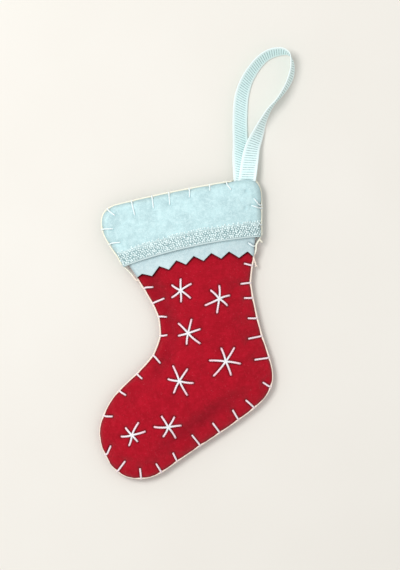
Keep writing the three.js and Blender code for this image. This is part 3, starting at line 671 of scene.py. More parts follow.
stitch_lines = [boot_edge.stitch_line(stitch) for stitch in BOOT_STITCH_SHARES]
moves = puff_with_cloth(boot_front, stitch_lines + snowflake_lines)
points = read_points(boot_front)
clear = np.clip((PUFF_TOP - points[:, 1]) / PUFF_FADE, 0, 1)
write_points(boot_front, points + moves * clear[:, None])
subdivided(boot_front, 1)

# %% [markdown]
# Sewing shapes felt. Each stitch presses a groove, goes down in a small pit at its tip and pulls the rim
# inward, and between two stitches the stuffing pushes the felt up. The rim itself rolls over towards the
# seam. Stuffing is also never even: it packs along the seam and leaves a trough further in, deepest above the
# sole and beside the shin. All of this could be sculpted by hand. Here each effect is a soft bell-shaped move
# of the points around a line, which can be repeated for every stitch. The crease number marks painted shade:
# the felt colour is painted darker along the seam, beside the stitches and in the trough.

# %% Press the stitches into the felt
GROOVE_WIDTH = 0.75 * MM
GROOVE_DEPTH = 0.34 * MM
PIT_WIDTH = 0.8 * MM
PIT_DEPTH = 0.38 * MM
RIM_PULL_WIDTH = 1.3 * MM
RIM_PULL = 0.3 * MM
RIM_SWELL = 0.55 * MM
RIM_SWELL_WIDTH = 2.5 * MM
BOOT_ROLL = (0.5 * MM, 0.8 * MM)
CUFF_ROLL = (1.1 * MM, 1.1 * MM)
CREASE_SHADE_WIDTH = 0.72 * MM
SEAM_SHADE_SHARE = 0.55
CUFF_SHADE_SHARE = 0.3
PUFF_HEIGHT = 0.3 * MM
PUFF_PLACE = 2.2 * MM
PUFF_GAP = 2.4 * MM
LUMP_SIZES = ((17 * MM, 0.3 * MM), (7 * MM, 0.12 * MM), (2.6 * MM, 0.05 * MM))
LUMP_FADE = 6.6 * MM
TROUGH_PLACE = 8 * MM
TROUGH_DEPTH = 1.1 * MM
TROUGH_SHADE_SHARE = 0.35
TROUGH_WIDTH = 3.7 * MM
TROUGH_SHARES = (
    (0.12, 0.5, 1), (0.16, 0.5, 0.9), (0.2, 0.5, 0.8), (0.24, 0.6, 0.8), (0.29, 0.75, 0.4),
    (0.36, 0.75, 0.2), (0.44, 0.8, 0.2), (0.5, 0.9, 0.4), (0.55, 1, 1), (0.62, 1, 1), (0.66, 0.9, 0.5),
    (0.72, 0.8, 0.2), (0.8, 0.6, 0.3), (0.87, 0.6, 0.3),
)


def bell(distance, width):
    return np.exp(-((distance / width) ** 2))


def lift(piece, heights):
    points = read_points(piece)
    points[:, 2] += heights
    write_points(piece, points)


def lumps(points):
    """How high uneven stuffing lifts each point, in slow swells and small knots, but not on the seam."""
    height = np.zeros(len(points))
    for size, rise in LUMP_SIZES:
        height += rise * np.array([noise.noise(Vector((x, y, 0)) / size) for x, y in points[:, :2]])
    return height * np.clip(boot_edge.nearest(points)[0] / LUMP_FADE, 0, 1)


def trough(points):
    """How deep the trough inside the boot's seam is at each point, as a share of its greatest depth."""
    inside, _, shares = boot_edge.nearest(points)
    along, places, depths = zip(*TROUGH_SHARES)
    place = np.interp(shares, along, places) * TROUGH_PLACE
    return np.interp(shares, along, depths) * bell(inside - place, TROUGH_WIDTH)


def keep_number(piece, name, values):
    """Keeps a number on the points of a piece, or raises the one that they already have."""
    kept = piece.data.attributes.get(name) or piece.data.attributes.new(name, "FLOAT", "POINT")
    before = np.zeros(len(values), np.float32)
    kept.data.foreach_get("value", before)
    kept.data.foreach_set("value", np.maximum(before, values).astype(np.float32))


def press_stitches(piece, edge, side, roll=BOOT_ROLL, puff=PUFF_HEIGHT, low=None, shade_share=1.0):
    """Moves the points of a sheet where the stitches along its edge press, pit and pull it."""
    points = read_points(piece)
    flat = points[:, :2].copy()
    depth, away, _ = edge.nearest(points)
    inside = depth / PUFF_PLACE
    band = inside * np.exp(1 - inside)
    points[:, :2] += away * (RIM_SWELL * bell(depth, RIM_SWELL_WIDTH))[:, None]
    points[:, 2] -= side * roll[0] * bell(depth, roll[1])
    # Painted shade along the seam, and below beside each stitch.
    crease = SEAM_SHADE_SHARE * bell(depth, CREASE_SHADE_WIDTH)
    held = np.zeros(len(points))
    sunk = np.zeros(len(points))
    for stitch in edge.stitches:
        if side < 0 and not stitch[3]:
            continue
        root, tip = edge.stitch_line(stitch, side)
        gap = from_segment(flat, root, tip)
        held = np.maximum(held, bell(gap, PUFF_GAP))
        sunk = np.maximum(sunk, GROOVE_DEPTH * bell(gap, GROOVE_WIDTH))
        sunk += PIT_DEPTH * bell(lengths(flat - tip), PIT_WIDTH)
        crease = np.maximum(crease, shade_share * bell(gap, CREASE_SHADE_WIDTH))
        pull = RIM_PULL * bell(lengths(flat - root), RIM_PULL_WIDTH)
        points[:, :2] -= pull[:, None] * edge.frame(stitch[0])[2]
    points[:, 2] += side * (puff * band * (1 - held) - sunk)
    if low is not None:
        points[:, 2] = np.maximum(points[:, 2], low)
    write_points(piece, points)
    keep_number(piece, "crease", crease)
    print(piece.name, "deepest dent", round(float(sunk.max()) / MM, 2), "mm")


trough_shares = trough(read_points(boot_front))
lift(boot_front, -TROUGH_DEPTH * trough_shares)
# Painted shade in the trough.
keep_number(boot_front, "crease", TROUGH_SHADE_SHARE * trough_shares)
press_stitches(boot_front, boot_edge, 1)
press_stitches(cuff_underlay, boot_edge, 1)
press_stitches(boot_back, boot_edge, -1, puff=0, low=0)
press_stitches(cuff_front, cuff_edge, 1, CUFF_ROLL, shade_share=CUFF_SHADE_SHARE)
press_stitches(cuff_back, cuff_edge, -1, puff=0)
for sheet in (boot_front, cuff_underlay, cuff_front):
    lift(sheet, lumps(read_points(sheet)))

# %% [markdown]
# The long stitches of the snowflakes sink into the swell of the boot, deepest at their six tips, with painted
# shade along them. The pinked edge of the under layer is pulled down on the red felt and leaves a crease
# along its zigzag, painted darker as shade. Two stitches at the foot of the ribbon were drawn so tight that
# the cuff has closed over them, and only their marks are left, as grooves with a little painted shade. The
# cuff also has three broad soft folds, each with a little painted shade.

# %% Press the snowflakes and the pinked edge in
PINKED_GROOVE = 0.3 * MM
PINKED_GROOVE_WIDTH = 0.7 * MM
PINKED_SHADE_WIDTH = 0.62 * MM
BURIED_PLACES = (((26.1, 53.6), (27.7, 51.3)), ((24.7, 47.9), (26.1, 44.6)))
BURIED_SHADE_SHARE = 0.15
FOLD_PLACES = (((-24.5, 45.2), (-19.5, 50.4)), ((-4.5, 47.5), (-2.5, 51.5)), ((16.8, 52.4), (18.9, 47)))
FOLD_SHADE_SHARE = 0.12
FOLD_WIDTH = 1.5 * MM


def placed(places):
    return np.array(places) * MM


def press_lines(piece, lines, shade_share=1.0, width=GROOVE_WIDTH, pit=PIT_DEPTH):
    """Sinks a sheet along lines that run from a middle to a tip, with a pit at the tip."""
    flat = read_points(piece)[:, :2]
    sunk = np.zeros(len(flat))
    crease = np.zeros(len(flat))
    for middle, tip in lines:
        groove = bell(from_segment(flat, middle, tip), width)
        hole = bell(lengths(flat - tip), PIT_WIDTH)
        sunk = np.maximum(sunk, np.maximum(GROOVE_DEPTH * groove, (GROOVE_DEPTH + pit) * hole))
        # Painted shade along each line, kept as the crease number.
        crease = np.maximum(crease, shade_share * groove)
    lift(piece, -sunk)
    keep_number(piece, "crease", crease)


def press_pinked_edge(piece, rim):
    tree = search_tree(rim)
    gap = np.array([tree.find((x, y, 0))[2] for x, y in read_points(piece)[:, :2]])
    lift(piece, -PINKED_GROOVE * bell(gap, PINKED_GROOVE_WIDTH))
    # Painted shade along the zigzag of the pinked edge.
    keep_number(piece, "crease", bell(gap, PINKED_SHADE_WIDTH))


press_lines(boot_front, snowflake_lines)
press_lines(cuff_front, placed(BURIED_PLACES), BURIED_SHADE_SHARE)
press_lines(cuff_front, placed(FOLD_PLACES), FOLD_SHADE_SHARE, FOLD_WIDTH, pit=0)
underlay_rim = rim_of(cuff_underlay)
press_pinked_edge(boot_front, underlay_rim[underlay_rim[:, 1] < TOOTH_ROW_HEIGHT])

# %% [markdown]
# A cut felt edge is a little rounded by handling, and the sewing squeezes it to half its thickness. The
# sheet is extruded straight down, so the outside stays where it was shaped. The Solidify modifier would
# follow the normals and a bevel would round the edge, but both make spikes where narrow faces crowd at the
# toe. So the points next to the border are lowered along a quarter circle instead.

# %% Give the felt its thickness
FELT_THICKNESS = 0.9 * MM
EDGE_ROUND = 0.22 * MM
SEAM_SQUEEZE = 0.5
SEAM_SQUEEZE_WIDTH = 1.5 * MM
SHARP_ANGLE = math.radians(50)


def thicken(piece, side, edge, thickness=FELT_THICKNESS):
    points = read_points(piece)
    border = search_tree(points[border_of(piece)])
    inside = np.clip(np.array([border.find(point)[2] for point in points]) / EDGE_ROUND, 0, 1)
    lift(piece, -side * EDGE_ROUND * (1 - np.sqrt(1 - (1 - inside) ** 2)))
    shape = shape_of(piece.data)
    inner = bmesh.ops.extrude_face_region(shape, geom=shape.faces[:])["geom"]
    inner = [part for part in inner if isinstance(part, bmesh.types.BMVert)]
    from_edge = edge.nearest(np.array([vertex.co for vertex in inner]))[0]
    squeeze = SEAM_SQUEEZE * bell(from_edge, SEAM_SQUEEZE_WIDTH)
    for vertex, share in zip(inner, 1 - squeeze):
        vertex.co.z -= side * thickness * share
    bmesh.ops.recalc_face_normals(shape, faces=shape.faces)
    shape.to_mesh(piece.data)
    shape.free()
    piece.data.shade_smooth()
    piece.data.set_sharp_from_angle(angle=SHARP_ANGLE)
    print(piece.name, sum(len(face.vertices) - 2 for face in piece.data.polygons), "triangles")


thicken(boot_front, 1, boot_edge)
thicken(boot_back, -1, boot_edge)
thicken(cuff_front, 1, cuff_edge)
thicken(cuff_back, -1, cuff_edge)
thicken(cuff_underlay, 1, boot_edge)

# %% [markdown]
# The fibre inside is hardly ever seen, but it is what makes the boot round, so it is modelled as the soft
# lumpy body that it is. Its upper side sinks with the trough of the felt.

# %% Stuffing
STUFFING_INSET = 0.25 * MM
STUFFING_LUMP = 0.2 * MM
STUFFING_LUMP_SIZE = 3 * MM


def stuffing_piece():
    shape = merged_shape("stuffing")
    piece = subdivided(make_piece("stuffing_fibre", shape, polyester_fibre), 2)
    points = read_points(piece)
    uneven = np.array([noise.noise(Vector(point) / STUFFING_LUMP_SIZE) for point in points])
    normals = np.array([vertex.normal for vertex in piece.data.vertices])
    points -= normals * (STUFFING_INSET + STUFFING_LUMP * uneven)[:, None]
    points[:, 2] -= TROUGH_DEPTH * trough(points) * (normals[:, 2] > 0)
    write_points(piece, points)
    piece.data.shade_smooth()
    return piece


stuffing = stuffing_piece()
print("stuffing", len(stuffing.data.vertices), "points")

# %% [markdown]
# Threads lie on the felt that has just been shaped, so their heights are measured on it. A ray is sent
# straight down, or up from below, on to the pieces that a thread may lie on, and the nearest hit counts.

# %% Measure heights on the felt
FAR_ABOVE = 50 * MM


class Ground:
    """The felt that threads lie on, seen from the front (side 1) or from the back (side -1)."""

    def __init__(self, pieces, side):
        graph = bpy.context.evaluated_depsgraph_get()
        self.trees = [BVHTree.FromObject(piece, graph) for piece in pieces]
        self.side = side

    def height(self, x, y, fallback):
        start = Vector((x, y, self.side * FAR_ABOVE))
        hits = [tree.ray_cast(start, Vector((0, 0, -self.side)))[0] for tree in self.trees]
        heights = [hit.z * self.side for hit in hits if hit]
        return max(heights) * self.side if heights else fallback

    def place(self, spot, rise):
        """The place a rise above the felt, or above the seam where no felt is."""
        return (*spot, self.height(*spot, SEAM_HEIGHT) + rise)


# %% [markdown]
# A sewing thread is three plies wound round each other. One way is a curve with a round bevel, but it gives
# a plain tube. Here the curve takes a three-lobed profile and turns steadily along its length, so the plies
# wind round it, and the result is made a mesh.

# %% Twisted thread
THREAD_RADIUS = 0.45 * MM
THREAD_TAPER = (0.6, 0.85)
THREAD_STEP = 0.28 * MM
TWIST_PITCH = 2.6 * MM
PLY_COUNT = 3
PROFILE_POINTS = 12
PLY_DEPTH = 0.16
POINTS_PER_STRETCH = 8


def even_line(points, spacing):
    """The same line with its points an even spacing apart. Numbers after the third ride along."""
    reach = reach_along(points[:, :3])
    stops = np.linspace(0, reach[-1], max(2, round(reach[-1] / spacing) + 1))
    return np.stack([np.interp(stops, reach, line) for line in points.T], axis=1)


def smooth_line(points, spacing):
    """A smooth line through the points, which never loops between close ones (centripetal Catmull-Rom)."""
    points = np.array(points, float)
    beyond = [2 * points[0] - points[1], *points, 2 * points[-1] - points[-2]]
    line = [points[:1]]
    for four in zip(beyond, beyond[1:], beyond[2:], beyond[3:]):
        gaps = [np.linalg.norm(four[k + 1][:3] - four[k][:3]) ** 0.5 for k in range(3)]
        knots = np.concatenate([[0], np.cumsum(gaps)])
        s = np.linspace(knots[1], knots[2], POINTS_PER_STRETCH + 1)[1:, None]

        def between(first, second, start, end):
            return ((end - s) * first + (s - start) * second) / (end - start)

        pairs = [between(four[k], four[k + 1], knots[k], knots[k + 1]) for k in range(3)]
        triples = [between(pairs[k], pairs[k + 1], knots[k], knots[k + 2]) for k in range(2)]
        line.append(between(triples[0], triples[1], knots[1], knots[2]))
    return even_line(np.vstack(line), spacing)


def ply_profile():
    curve = bpy.data.curves.new("ply_profile", "CURVE")
    curve.dimensions = "2D"
    spline = curve.splines.new("POLY")
    spline.points.add(PROFILE_POINTS - 1)
    for index, point in enumerate(spline.points):
        turn = 2 * math.pi * index / PROFILE_POINTS
        radius = THREAD_RADIUS * (1 - PLY_DEPTH * (1 - abs(math.cos(PLY_COUNT * turn / 2))))
        point.co = (radius * math.cos(turn), radius * math.sin(turn), 0, 1)
    spline.use_cyclic_u = True
    return link(bpy.data.objects.new("ply_profile", curve))


def twisted_threads(
    name, lines, thickness, replaced=(), finish=cotton_thread, blush=None, cream=0,
):
    """One mesh of twisted threads that run smoothly through places. Blush is worked out from its points."""
    profile = ply_profile()
    curve = bpy.data.curves.new(name, "CURVE")
    curve.dimensions = "3D"
    curve.bevel_mode = "OBJECT"
    curve.bevel_object = profile
    curve.use_fill_caps = True
    for line in lines:
        line = smooth_line(line, THREAD_STEP)
        spline = curve.splines.new("POLY")
        spline.points.add(len(line) - 1)
        for index, (point, place) in enumerate(zip(spline.points, line)):
            point.co = (*place, 1)
            point.tilt = 2 * math.pi * index * THREAD_STEP / TWIST_PITCH
            from_end = min(index, len(line) - 1 - index)
            point.radius = thickness * (THREAD_TAPER[from_end] if from_end < len(THREAD_TAPER) else 1)
    source = link(bpy.data.objects.new(name + "_path", curve))
    graph = bpy.context.evaluated_depsgraph_get()
    shape = shape_of(source.evaluated_get(graph).to_mesh())
    bpy.data.objects.remove(source)
    bpy.data.objects.remove(profile)
    bmesh.ops.remove_doubles(shape, verts=shape.verts, dist=MERGE_DISTANCE)
    bmesh.ops.recalc_face_normals(shape, faces=shape.faces)
    piece = make_piece(name, shape, finish)
    points = read_points(piece)
    keep_number(piece, "blush", blush(points) if blush else np.zeros(len(points)))
    keep_number(piece, "cream", np.full(len(points), cream))
    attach(piece, "stocking")
    if replaced:
        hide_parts(*replaced)
    print(name, len(lines), "threads", len(piece.data.polygons), "faces")


# %% [markdown]
# The edge is closed with blanket stitch. One thread runs along the rim, and each stitch reaches in from it
# over the front and the back. The rim thread is drawn tight, so between two stitches it takes the short
# way: round an outward bend of the boot it sinks between the two panels, and across the instep it stands
# clear of them.

# %% Blanket stitches
LIE_HEIGHT = 0.3 * MM
TIP_DIVE = 0.5 * MM
RIM_LOOP = 0.3 * MM
RIM_THREAD_PULL = 0.25 * MM
SHOULDER_OUT = 0.25 * MM
SHOULDER_SHARE = 0.8
BRIDGE_SHARE = 0.45
SINK_LIMIT = 0.2 * MM
STITCH_THICKNESS = 0.92
RIM_THICKNESS = 0.82
RIM_CREAM = 0.6
RIM_BLUSH = 0.6
STITCH_BLUSH = 0.5
RED_FELT_TOP = 26 * MM
LEG_SHARES = (0.93, 0.65, 0.35, 0.12)


def stitch_thread(edge, stitch, fronts, backs):
    """A stitch from its tip in front, round the rim thread, to its tip behind."""
    root, _, outward = edge.frame(stitch[0])
    sides = [(1, fronts), (-1, backs)] if stitch[3] else [(1, fronts)]
    legs = []
    for side, ground in sides:
        near, tip = edge.stitch_line(stitch, side)
        near = near - RIM_PULL * outward
        leg = [ground.place(tip, -side * TIP_DIVE)]
        for share in LEG_SHARES:
            spot = near + share * (tip - near)
            leg.append(ground.place(spot, side * LIE_HEIGHT))
        shoulder = near + outward * SHOULDER_OUT
        leg.append((*shoulder, edge.seam + side * abs(leg[-1][2] - edge.seam) * SHOULDER_SHARE))
        legs.append(leg)
    round_rim = root + outward * (edge.gap + RIM_LOOP - RIM_PULL)
    behind = legs[1][::-1] if len(legs) > 1 else []
    return [*legs[0], (*round_rim, edge.seam), *behind]


def rim_place(edge, share):
    """A place of the rim thread: between the edge's own line and the straight way between two stitches."""
    stops = [stitch[0] for stitch in edge.stitches]
    place, _, outward = edge.frame(share)
    place = place + outward * edge.gap
    after = next((stop for stop in stops if stop > share), None)
    before = next((stop for stop in reversed(stops) if stop <= share), None)
    if after is not None and before is not None:
        ends = []
        for stop in (before, after):
            spot, _, away = edge.frame(stop)
            ends.append(spot + away * (edge.gap - RIM_THREAD_PULL))
        straight = ends[0] + (ends[1] - ends[0]) * (share - before) / (after - before)
        clear = (straight - place) @ outward
        place = place + outward * max(clear * BRIDGE_SHARE, -SINK_LIMIT)
    return (*place, edge.seam)


def lint_on_red(share):
    """Gives a thread red lint wherever it lies on the red felt."""
    return lambda points: share * (points[:, 1] < RED_FELT_TOP)


front_ground = Ground((boot_front, cuff_underlay), 1)
back_ground = Ground((boot_back,), -1)
boot_lines = [stitch_thread(boot_edge, stitch, front_ground, back_ground) for stitch in BOOT_STITCH_SHARES]
twisted_threads(
    "boot_stitches", boot_lines, STITCH_THICKNESS, ("boot_stitching",), blush=lint_on_red(STITCH_BLUSH),
)

# %% [markdown]
# The rim thread of the boot starts at the left corner of the cuff and ends at its right corner, where it
# crosses in front of the under layer. Beside the calf hangs the loose end that the maker left, with a knot
# in it.

# %% Rim thread of the boot
BOOT_THREAD_SHARES = (0.112, 0.897)
BOOT_THREAD_PLACES = 260
LEFT_CORNER_PLACES = ((-25.5, 30.2, 3.85), (-23.2, 27.0, 3.85), (-21.3, 23.8, 3.85))
RIGHT_CORNER_PLACES = (
    (26.3, 25.6, 4.3), (27.5, 27.8, 4.8), (27.9, 29.5, 5.0), (29.2, 31.2, 4.6), (30.3, 32.6, 4.2),
)
TAIL_PLACES = ((25.9, 25.2, 4.0), (26.1, 24.0, 3.6), (26.3, 22.6, 3.1), (26.45, 21.2, 2.8))
KNOT_PLACES = ((26.0, 21.0, 2.9), (26.5, 21.35, 3.1), (26.95, 21.15, 2.9))


boot_thread_shares = np.linspace(*BOOT_THREAD_SHARES, BOOT_THREAD_PLACES)
boot_rim_line = [rim_place(boot_edge, share) for share in boot_thread_shares]
boot_rim_line = [*placed(LEFT_CORNER_PLACES), *boot_rim_line, *placed(RIGHT_CORNER_PLACES)]
twisted_threads(
    "boot_rim_thread", [boot_rim_line, placed(TAIL_PLACES), placed(KNOT_PLACES)], RIM_THICKNESS,
    blush=lint_on_red(RIM_BLUSH), cream=RIM_CREAM,
)

# %% [markdown]
# On the cuff the thread has to get past the ribbon. It rounds the rim of the back layer, crosses behind the
# ribbon and comes back to the edge, so nothing of it shows on the ribbon.

# %% Cuff stitches
BEHIND_RIBBON_SHARES = (0.2, 0.222, 0.272, 0.292)
CUFF_THREAD_SHARES = (0.004, 0.99147)
CUFF_THREAD_PLACES = 110
CUT_END_PLACES = ((29.3, 31.6, 4.6), (30.0, 30.8, 4.3), (30.6, 30.0, 3.8))
CUFF_STITCH_THICKNESS = 0.68
CUFF_CREAM = 0.65


def ease(share):
    share = min(max(share, 0), 1)
    return share * share * (3 - 2 * share)


def cuff_rim_place(share, ground):
    leaves, behind, comes_out, back = BEHIND_RIBBON_SHARES
    passed = min((share - leaves) / (behind - leaves), (back - share) / (back - comes_out))
    if passed <= 0:
        return rim_place(cuff_edge, share)
    spot, _, outward = cuff_edge.frame(share)
    turn = math.pi / 2 * ease(passed * 2 - 1)
    under = ground.height(*(spot - outward * CUFF_GAP / 2), CUFF_SEAM_HEIGHT)
    height = CUFF_SEAM_HEIGHT + (under - CUFF_SEAM_HEIGHT) * ease(passed * 2) - CUFF_GAP * math.sin(turn)
    return (*(spot + outward * CUFF_GAP * math.cos(turn)), height)


cuff_grounds = Ground((cuff_front,), 1), Ground((cuff_back,), -1)
cuff_lines = [stitch_thread(cuff_edge, stitch, *cuff_grounds) for stitch in CUFF_STITCH_SHARES]
twisted_threads("cuff_stitches", cuff_lines, CUFF_STITCH_THICKNESS, ("cuff_stitching",))
cuff_thread_shares = np.linspace(*CUFF_THREAD_SHARES, CUFF_THREAD_PLACES)
cuff_rim_line = [cuff_rim_place(share, cuff_grounds[1]) for share in cuff_thread_shares]
twisted_threads("cuff_rim_thread", [cuff_rim_line, placed(CUT_END_PLACES)], RIM_THICKNESS, cream=CUFF_CREAM)

# %% [markdown]
# The three stitches of a snowflake lie over each other in its middle, so each is a little higher there than
# the one before. Drawn by hand, none is quite straight. Their ends went through the felt and have the most
# lint.

# %% Snowflake threads
CROSSING_RISE = 0.2 * MM
ARM_SHARES = (0.95, 0.7, 0.4, 0.15)
ARM_BOW = 0.22 * MM
FLAKE_THICKNESS = 0.97
FLAKE_BLUSH = (0.1, 0.85)
BOW_SEED = 5
bows = random.Random(BOW_SEED)


def snowflake_bar(middle, first, second, order):
    bar = []
    for tip, shares in ((first, ARM_SHARES), (second, ARM_SHARES[::-1])):
        run = tip - middle
        bow = bows.uniform(-ARM_BOW, ARM_BOW) * np.array([-run[1], run[0]]) / np.linalg.norm(run)
        for share in shares:
            spot = middle + share * run + bow * math.sin(math.pi * share)
            rise = CROSSING_RISE * order * (1 - share)
            bar.append(front_ground.place(spot, LIE_HEIGHT + rise))
    ends = [front_ground.place(tip, -TIP_DIVE) for tip in (first, second)]
    return [ends[0], *bar, ends[1]]


def flake_blush(points, middle):
    """Little lint in the middle of a snowflake and much at its tips."""
    return np.interp(lengths(points[:, :2] - middle) / SNOWFLAKE_ARM, (0, 1), FLAKE_BLUSH)


for number, (middle, tips) in enumerate(snowflakes, start=1):
    bars = [snowflake_bar(middle, tips[k], tips[k + 3], k) for k in range(3)]
    twisted_threads(
        f"snowflake_thread_{number}", bars, FLAKE_THICKNESS, (f"snowflake_{number}",),
        blush=lambda points: flake_blush(points, middle),
    )

# %% [markdown]
# The hanger is one length of ribbon with a half turn in it. Its route is read as places with a roll, from
# one sewn end over the loop to the other. Near the seam the two legs lie on each other, and further out the
# lower edge of the ribbon almost touches the table.

# %% Ribbon route
RIBBON_WIDTH = 7 * MM
RIBBON_REACH = 48 * MM
RIBBON_ROOT = np.array((28 * MM, 56.22 * MM))
RIBBON_SEWN_LENGTH = 10 * MM
RIBBON_SEWN_SHARES = (1, 0.4)
RIBBON_TABLE_GAP = 0.35 * MM
RIBBON_ROOT_HEIGHT = 4.075 * MM
RIBBON_LEG_OFFSET = 0.4 * MM
RIB_PITCH = 0.95 * MM
STEPS_PER_RIB = 6
RIBBON_SHARES = [
    (-0.021, 0, 0, 1), (-0.004, 0.165, 17, 0.53), (0.015, 0.29, 30, 0.15), (0.033, 0.413, 33, 0.03),
    (0.054, 0.527, 34, 0), (0.092, 0.673, 38, 0), (0.146, 0.784, 47, 0), (0.213, 0.869, 53, 0),
    (0.298, 0.944, 58, 0), (0.373, 0.982, 62, 0), (0.442, 0.992, 66, 0), (0.5, 0.985, 74, 0),
    (0.542, 0.957, 88, 0), (0.556, 0.904, 99, 0), (0.55, 0.838, 105, 0), (0.523, 0.767, 108, 0),
    (0.471, 0.692, 104, 0), (0.415, 0.633, 99, 0), (0.367, 0.592, 95, 0), (0.296, 0.527, 102, 0),
    (0.231, 0.442, 113, 0.05), (0.171, 0.346, 131, 0.24), (0.11, 0.248, 149, 0.54),
    (0.069, 0.144, 165, 0.78), (0.021, 0, 180, 1),
]


def ribbon_stops():
    """Centre and roll of the ribbon, from one end in the seam over the loop to the other end in the seam."""
    stops = []
    for index, (x, y, roll, rise) in enumerate(RIBBON_SHARES):
        side = -1 if index < len(RIBBON_SHARES) / 2 else 1
        root = RIBBON_ROOT_HEIGHT + side * RIBBON_LEG_OFFSET
        height = RIBBON_TABLE_GAP + RIBBON_WIDTH / 2 * math.sin(math.radians(roll))
        height += rise * (root - RIBBON_TABLE_GAP)
        stops.append((*(RIBBON_ROOT + RIBBON_REACH * np.array((x, y))), height, roll))
    stops = np.array(stops)
    ends = []
    for foot, following in ((stops[0], stops[1]), (stops[-1], stops[-2])):
        inward = foot[:2] - following[:2]
        inward *= RIBBON_SEWN_LENGTH / np.linalg.norm(inward)
        middle = (foot[2] + RIBBON_ROOT_HEIGHT) / 2
        ends.append([(*(foot[:2] + share * inward), middle, foot[3]) for share in RIBBON_SEWN_SHARES])
    return [*ends[0], *stops, *ends[1][::-1]]


route = smooth_line(ribbon_stops(), RIB_PITCH / STEPS_PER_RIB)
print("ribbon route", len(route), "stations")

# %% [markdown]
# A flat grid gets the ribbon's ribs and its denser edges, which are called selvedges, and is then carried
# along the route, station by station. The ribs lie a little askew where the ribbon is pulled. A curve
# modifier could bend the grid too, but it wouldn't hold the half turn as exactly.

# %% Ribbon
RIBBON_THICKNESS = 0.42 * MM
RIBBON_COLUMNS = 18
RIB_RELIEF = 0.11 * MM
RIB_SKEW_SHARES = ((0, 0.1), (0.12, 0.35), (0.3, 0.3), (0.45, 0.05), (0.6, 0), (0.8, 0.1), (1, 0.15))
SELVEDGE_WIDTH = 1.05 * MM
SELVEDGE_START = 0.3
SELVEDGE_LOW = 0.55
SELVEDGE_SCALLOP = 0.012


def unit(vectors):
    return vectors / lengths(vectors)[:, None]


def route_frame(route):
    """For each station of the route its centre, the way across the ribbon and the way through it."""
    centres = route[:, :3]
    travel = unit(np.gradient(centres, axis=0))
    level = unit(np.cross(travel, (0, 0, 1)))
    roll = np.radians(route[:, 3])[:, None]
    across = np.cos(roll) * level - np.sin(roll) * np.array((0, 0, 1))
    across = unit(across - np.sum(across * travel, axis=1)[:, None] * travel)
    return centres, across, np.cross(travel, across)


def ribbon_piece():
    centres, across, through = route_frame(route)
    count = len(route) - 1
    shape = bmesh.new()
    bmesh.ops.create_grid(shape, x_segments=count, y_segments=RIBBON_COLUMNS, size=0.5)
    bmesh.ops.solidify(shape, geom=shape.faces[:], thickness=1)
    middle = sum(vertex.co.z for vertex in shape.verts) / len(shape.verts)
    length = count * RIB_PITCH / STEPS_PER_RIB
    ridge = shape.verts.layers.float.new("ridge")
    selvedge = shape.verts.layers.float.new("selvedge")
    for vertex in shape.verts:
        station = min(max(round((vertex.co.x + 0.5) * count), 0), count)
        share = station / count
        side = vertex.co.y * RIBBON_WIDTH
        skew = np.interp(share, *zip(*RIB_SKEW_SHARES))
        rib = math.cos(2 * math.pi * (share * length + skew * side) / RIB_PITCH)
        bead = 0.5 + 0.5 * rib
        woven = ease((RIBBON_WIDTH / 2 - abs(side)) / SELVEDGE_WIDTH - SELVEDGE_START)
        edging = (1 - woven) * (SELVEDGE_LOW + (1 - SELVEDGE_LOW) * bead)
        relief = woven * bead + edging
        # The ridge number also drives the painted rib shade in the colour.
        vertex[ridge] = relief
        vertex[selvedge] = edging
        face = 1 if vertex.co.z > middle else -1
        offset = face * (RIBBON_THICKNESS / 2 + RIB_RELIEF * (relief - 1))
        spread = side * (1 + SELVEDGE_SCALLOP * rib * (1 - woven))
        vertex.co = centres[station] + spread * across[station] + offset * through[station]
    bmesh.ops.recalc_face_normals(shape, faces=shape.faces)
    print("ribbon", round(length / MM), "mm long,", round(length / RIB_PITCH), "ribs")
    return make_piece("ribbon", shape, grosgrain)


ribbon = ribbon_piece()
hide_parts("ribbon_loop", "ribbon_sewn_end")
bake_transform(ribbon)

# %% [markdown]
# The braid is a flat band knotted from metal foil. Its lower edge is plain, and above that its face is rows
# of small bright knots with dark gaps between them, so ragged along the top that the band melts into the
# felt. A bump map would shimmer but keep a smooth outline. Here one low pebble of twenty faces is repeated
# along a band painted dark as the shade in the gaps, in staggered rows with small random turns, and the gaps
# come by themselves. The knots' brightness is a painted glint.

# %% Silver braid
BRAID_WIDTH = 5.8 * MM
BRAID_THICKNESS = 0.45 * MM
BRAID_SINK = 0.3 * MM
BRAID_FADE = 1.1 * MM
BRAID_TOP_SINK = 0.5 * MM
PLAIN_EDGE_WIDTH = 0.6 * MM
PLAIN_EDGE_FADE = 0.2 * MM
EDGE_GLINT = 0.6
KNOT_ROWS = 7
KNOT_SPACING = 0.95 * MM
KNOTS_BEYOND = 3
KNOT_DRIFT = 0.2
KNOT_SIZE = (1.08 * MM, 0.78 * MM, 0.5 * MM)
KNOT_SIZE_SHARES = (0.75, 1.2)
KNOT_SHINE = (0.7, 1)
KNOT_LEAN = math.radians(35)
KNOT_LEAN_DRIFT = 0.5
KNOT_TIP = 0.35
KNOT_RISE = 0.06 * MM
MISSING_KNOTS = 0.35
KNOT_SEED = 11
CUFF_BOW = 1.8 * MM
cuff_low_right, cuff_low_left = (np.array(end) for end in CUFF_ENDS)
cuff_low_run = cuff_low_right - cuff_low_left
braid_up = np.array([-cuff_low_run[1], cuff_low_run[0]]) / np.linalg.norm(cuff_low_run)


def cuff_low_edge(share):
    """A place on the lower edge of the cuff."""
    return cuff_low_left + share * cuff_low_run + np.array([0, CUFF_BOW * (1 - (2 * share - 1) ** 2)])


def above_low_edge(points):
    """How far each point is above the lower edge of the cuff."""
    shares = (points[:, :2] - cuff_low_left) @ cuff_low_run / (cuff_low_run @ cuff_low_run)
    return np.array([(point[:2] - cuff_low_edge(share)) @ braid_up for point, share in zip(points, shares)])


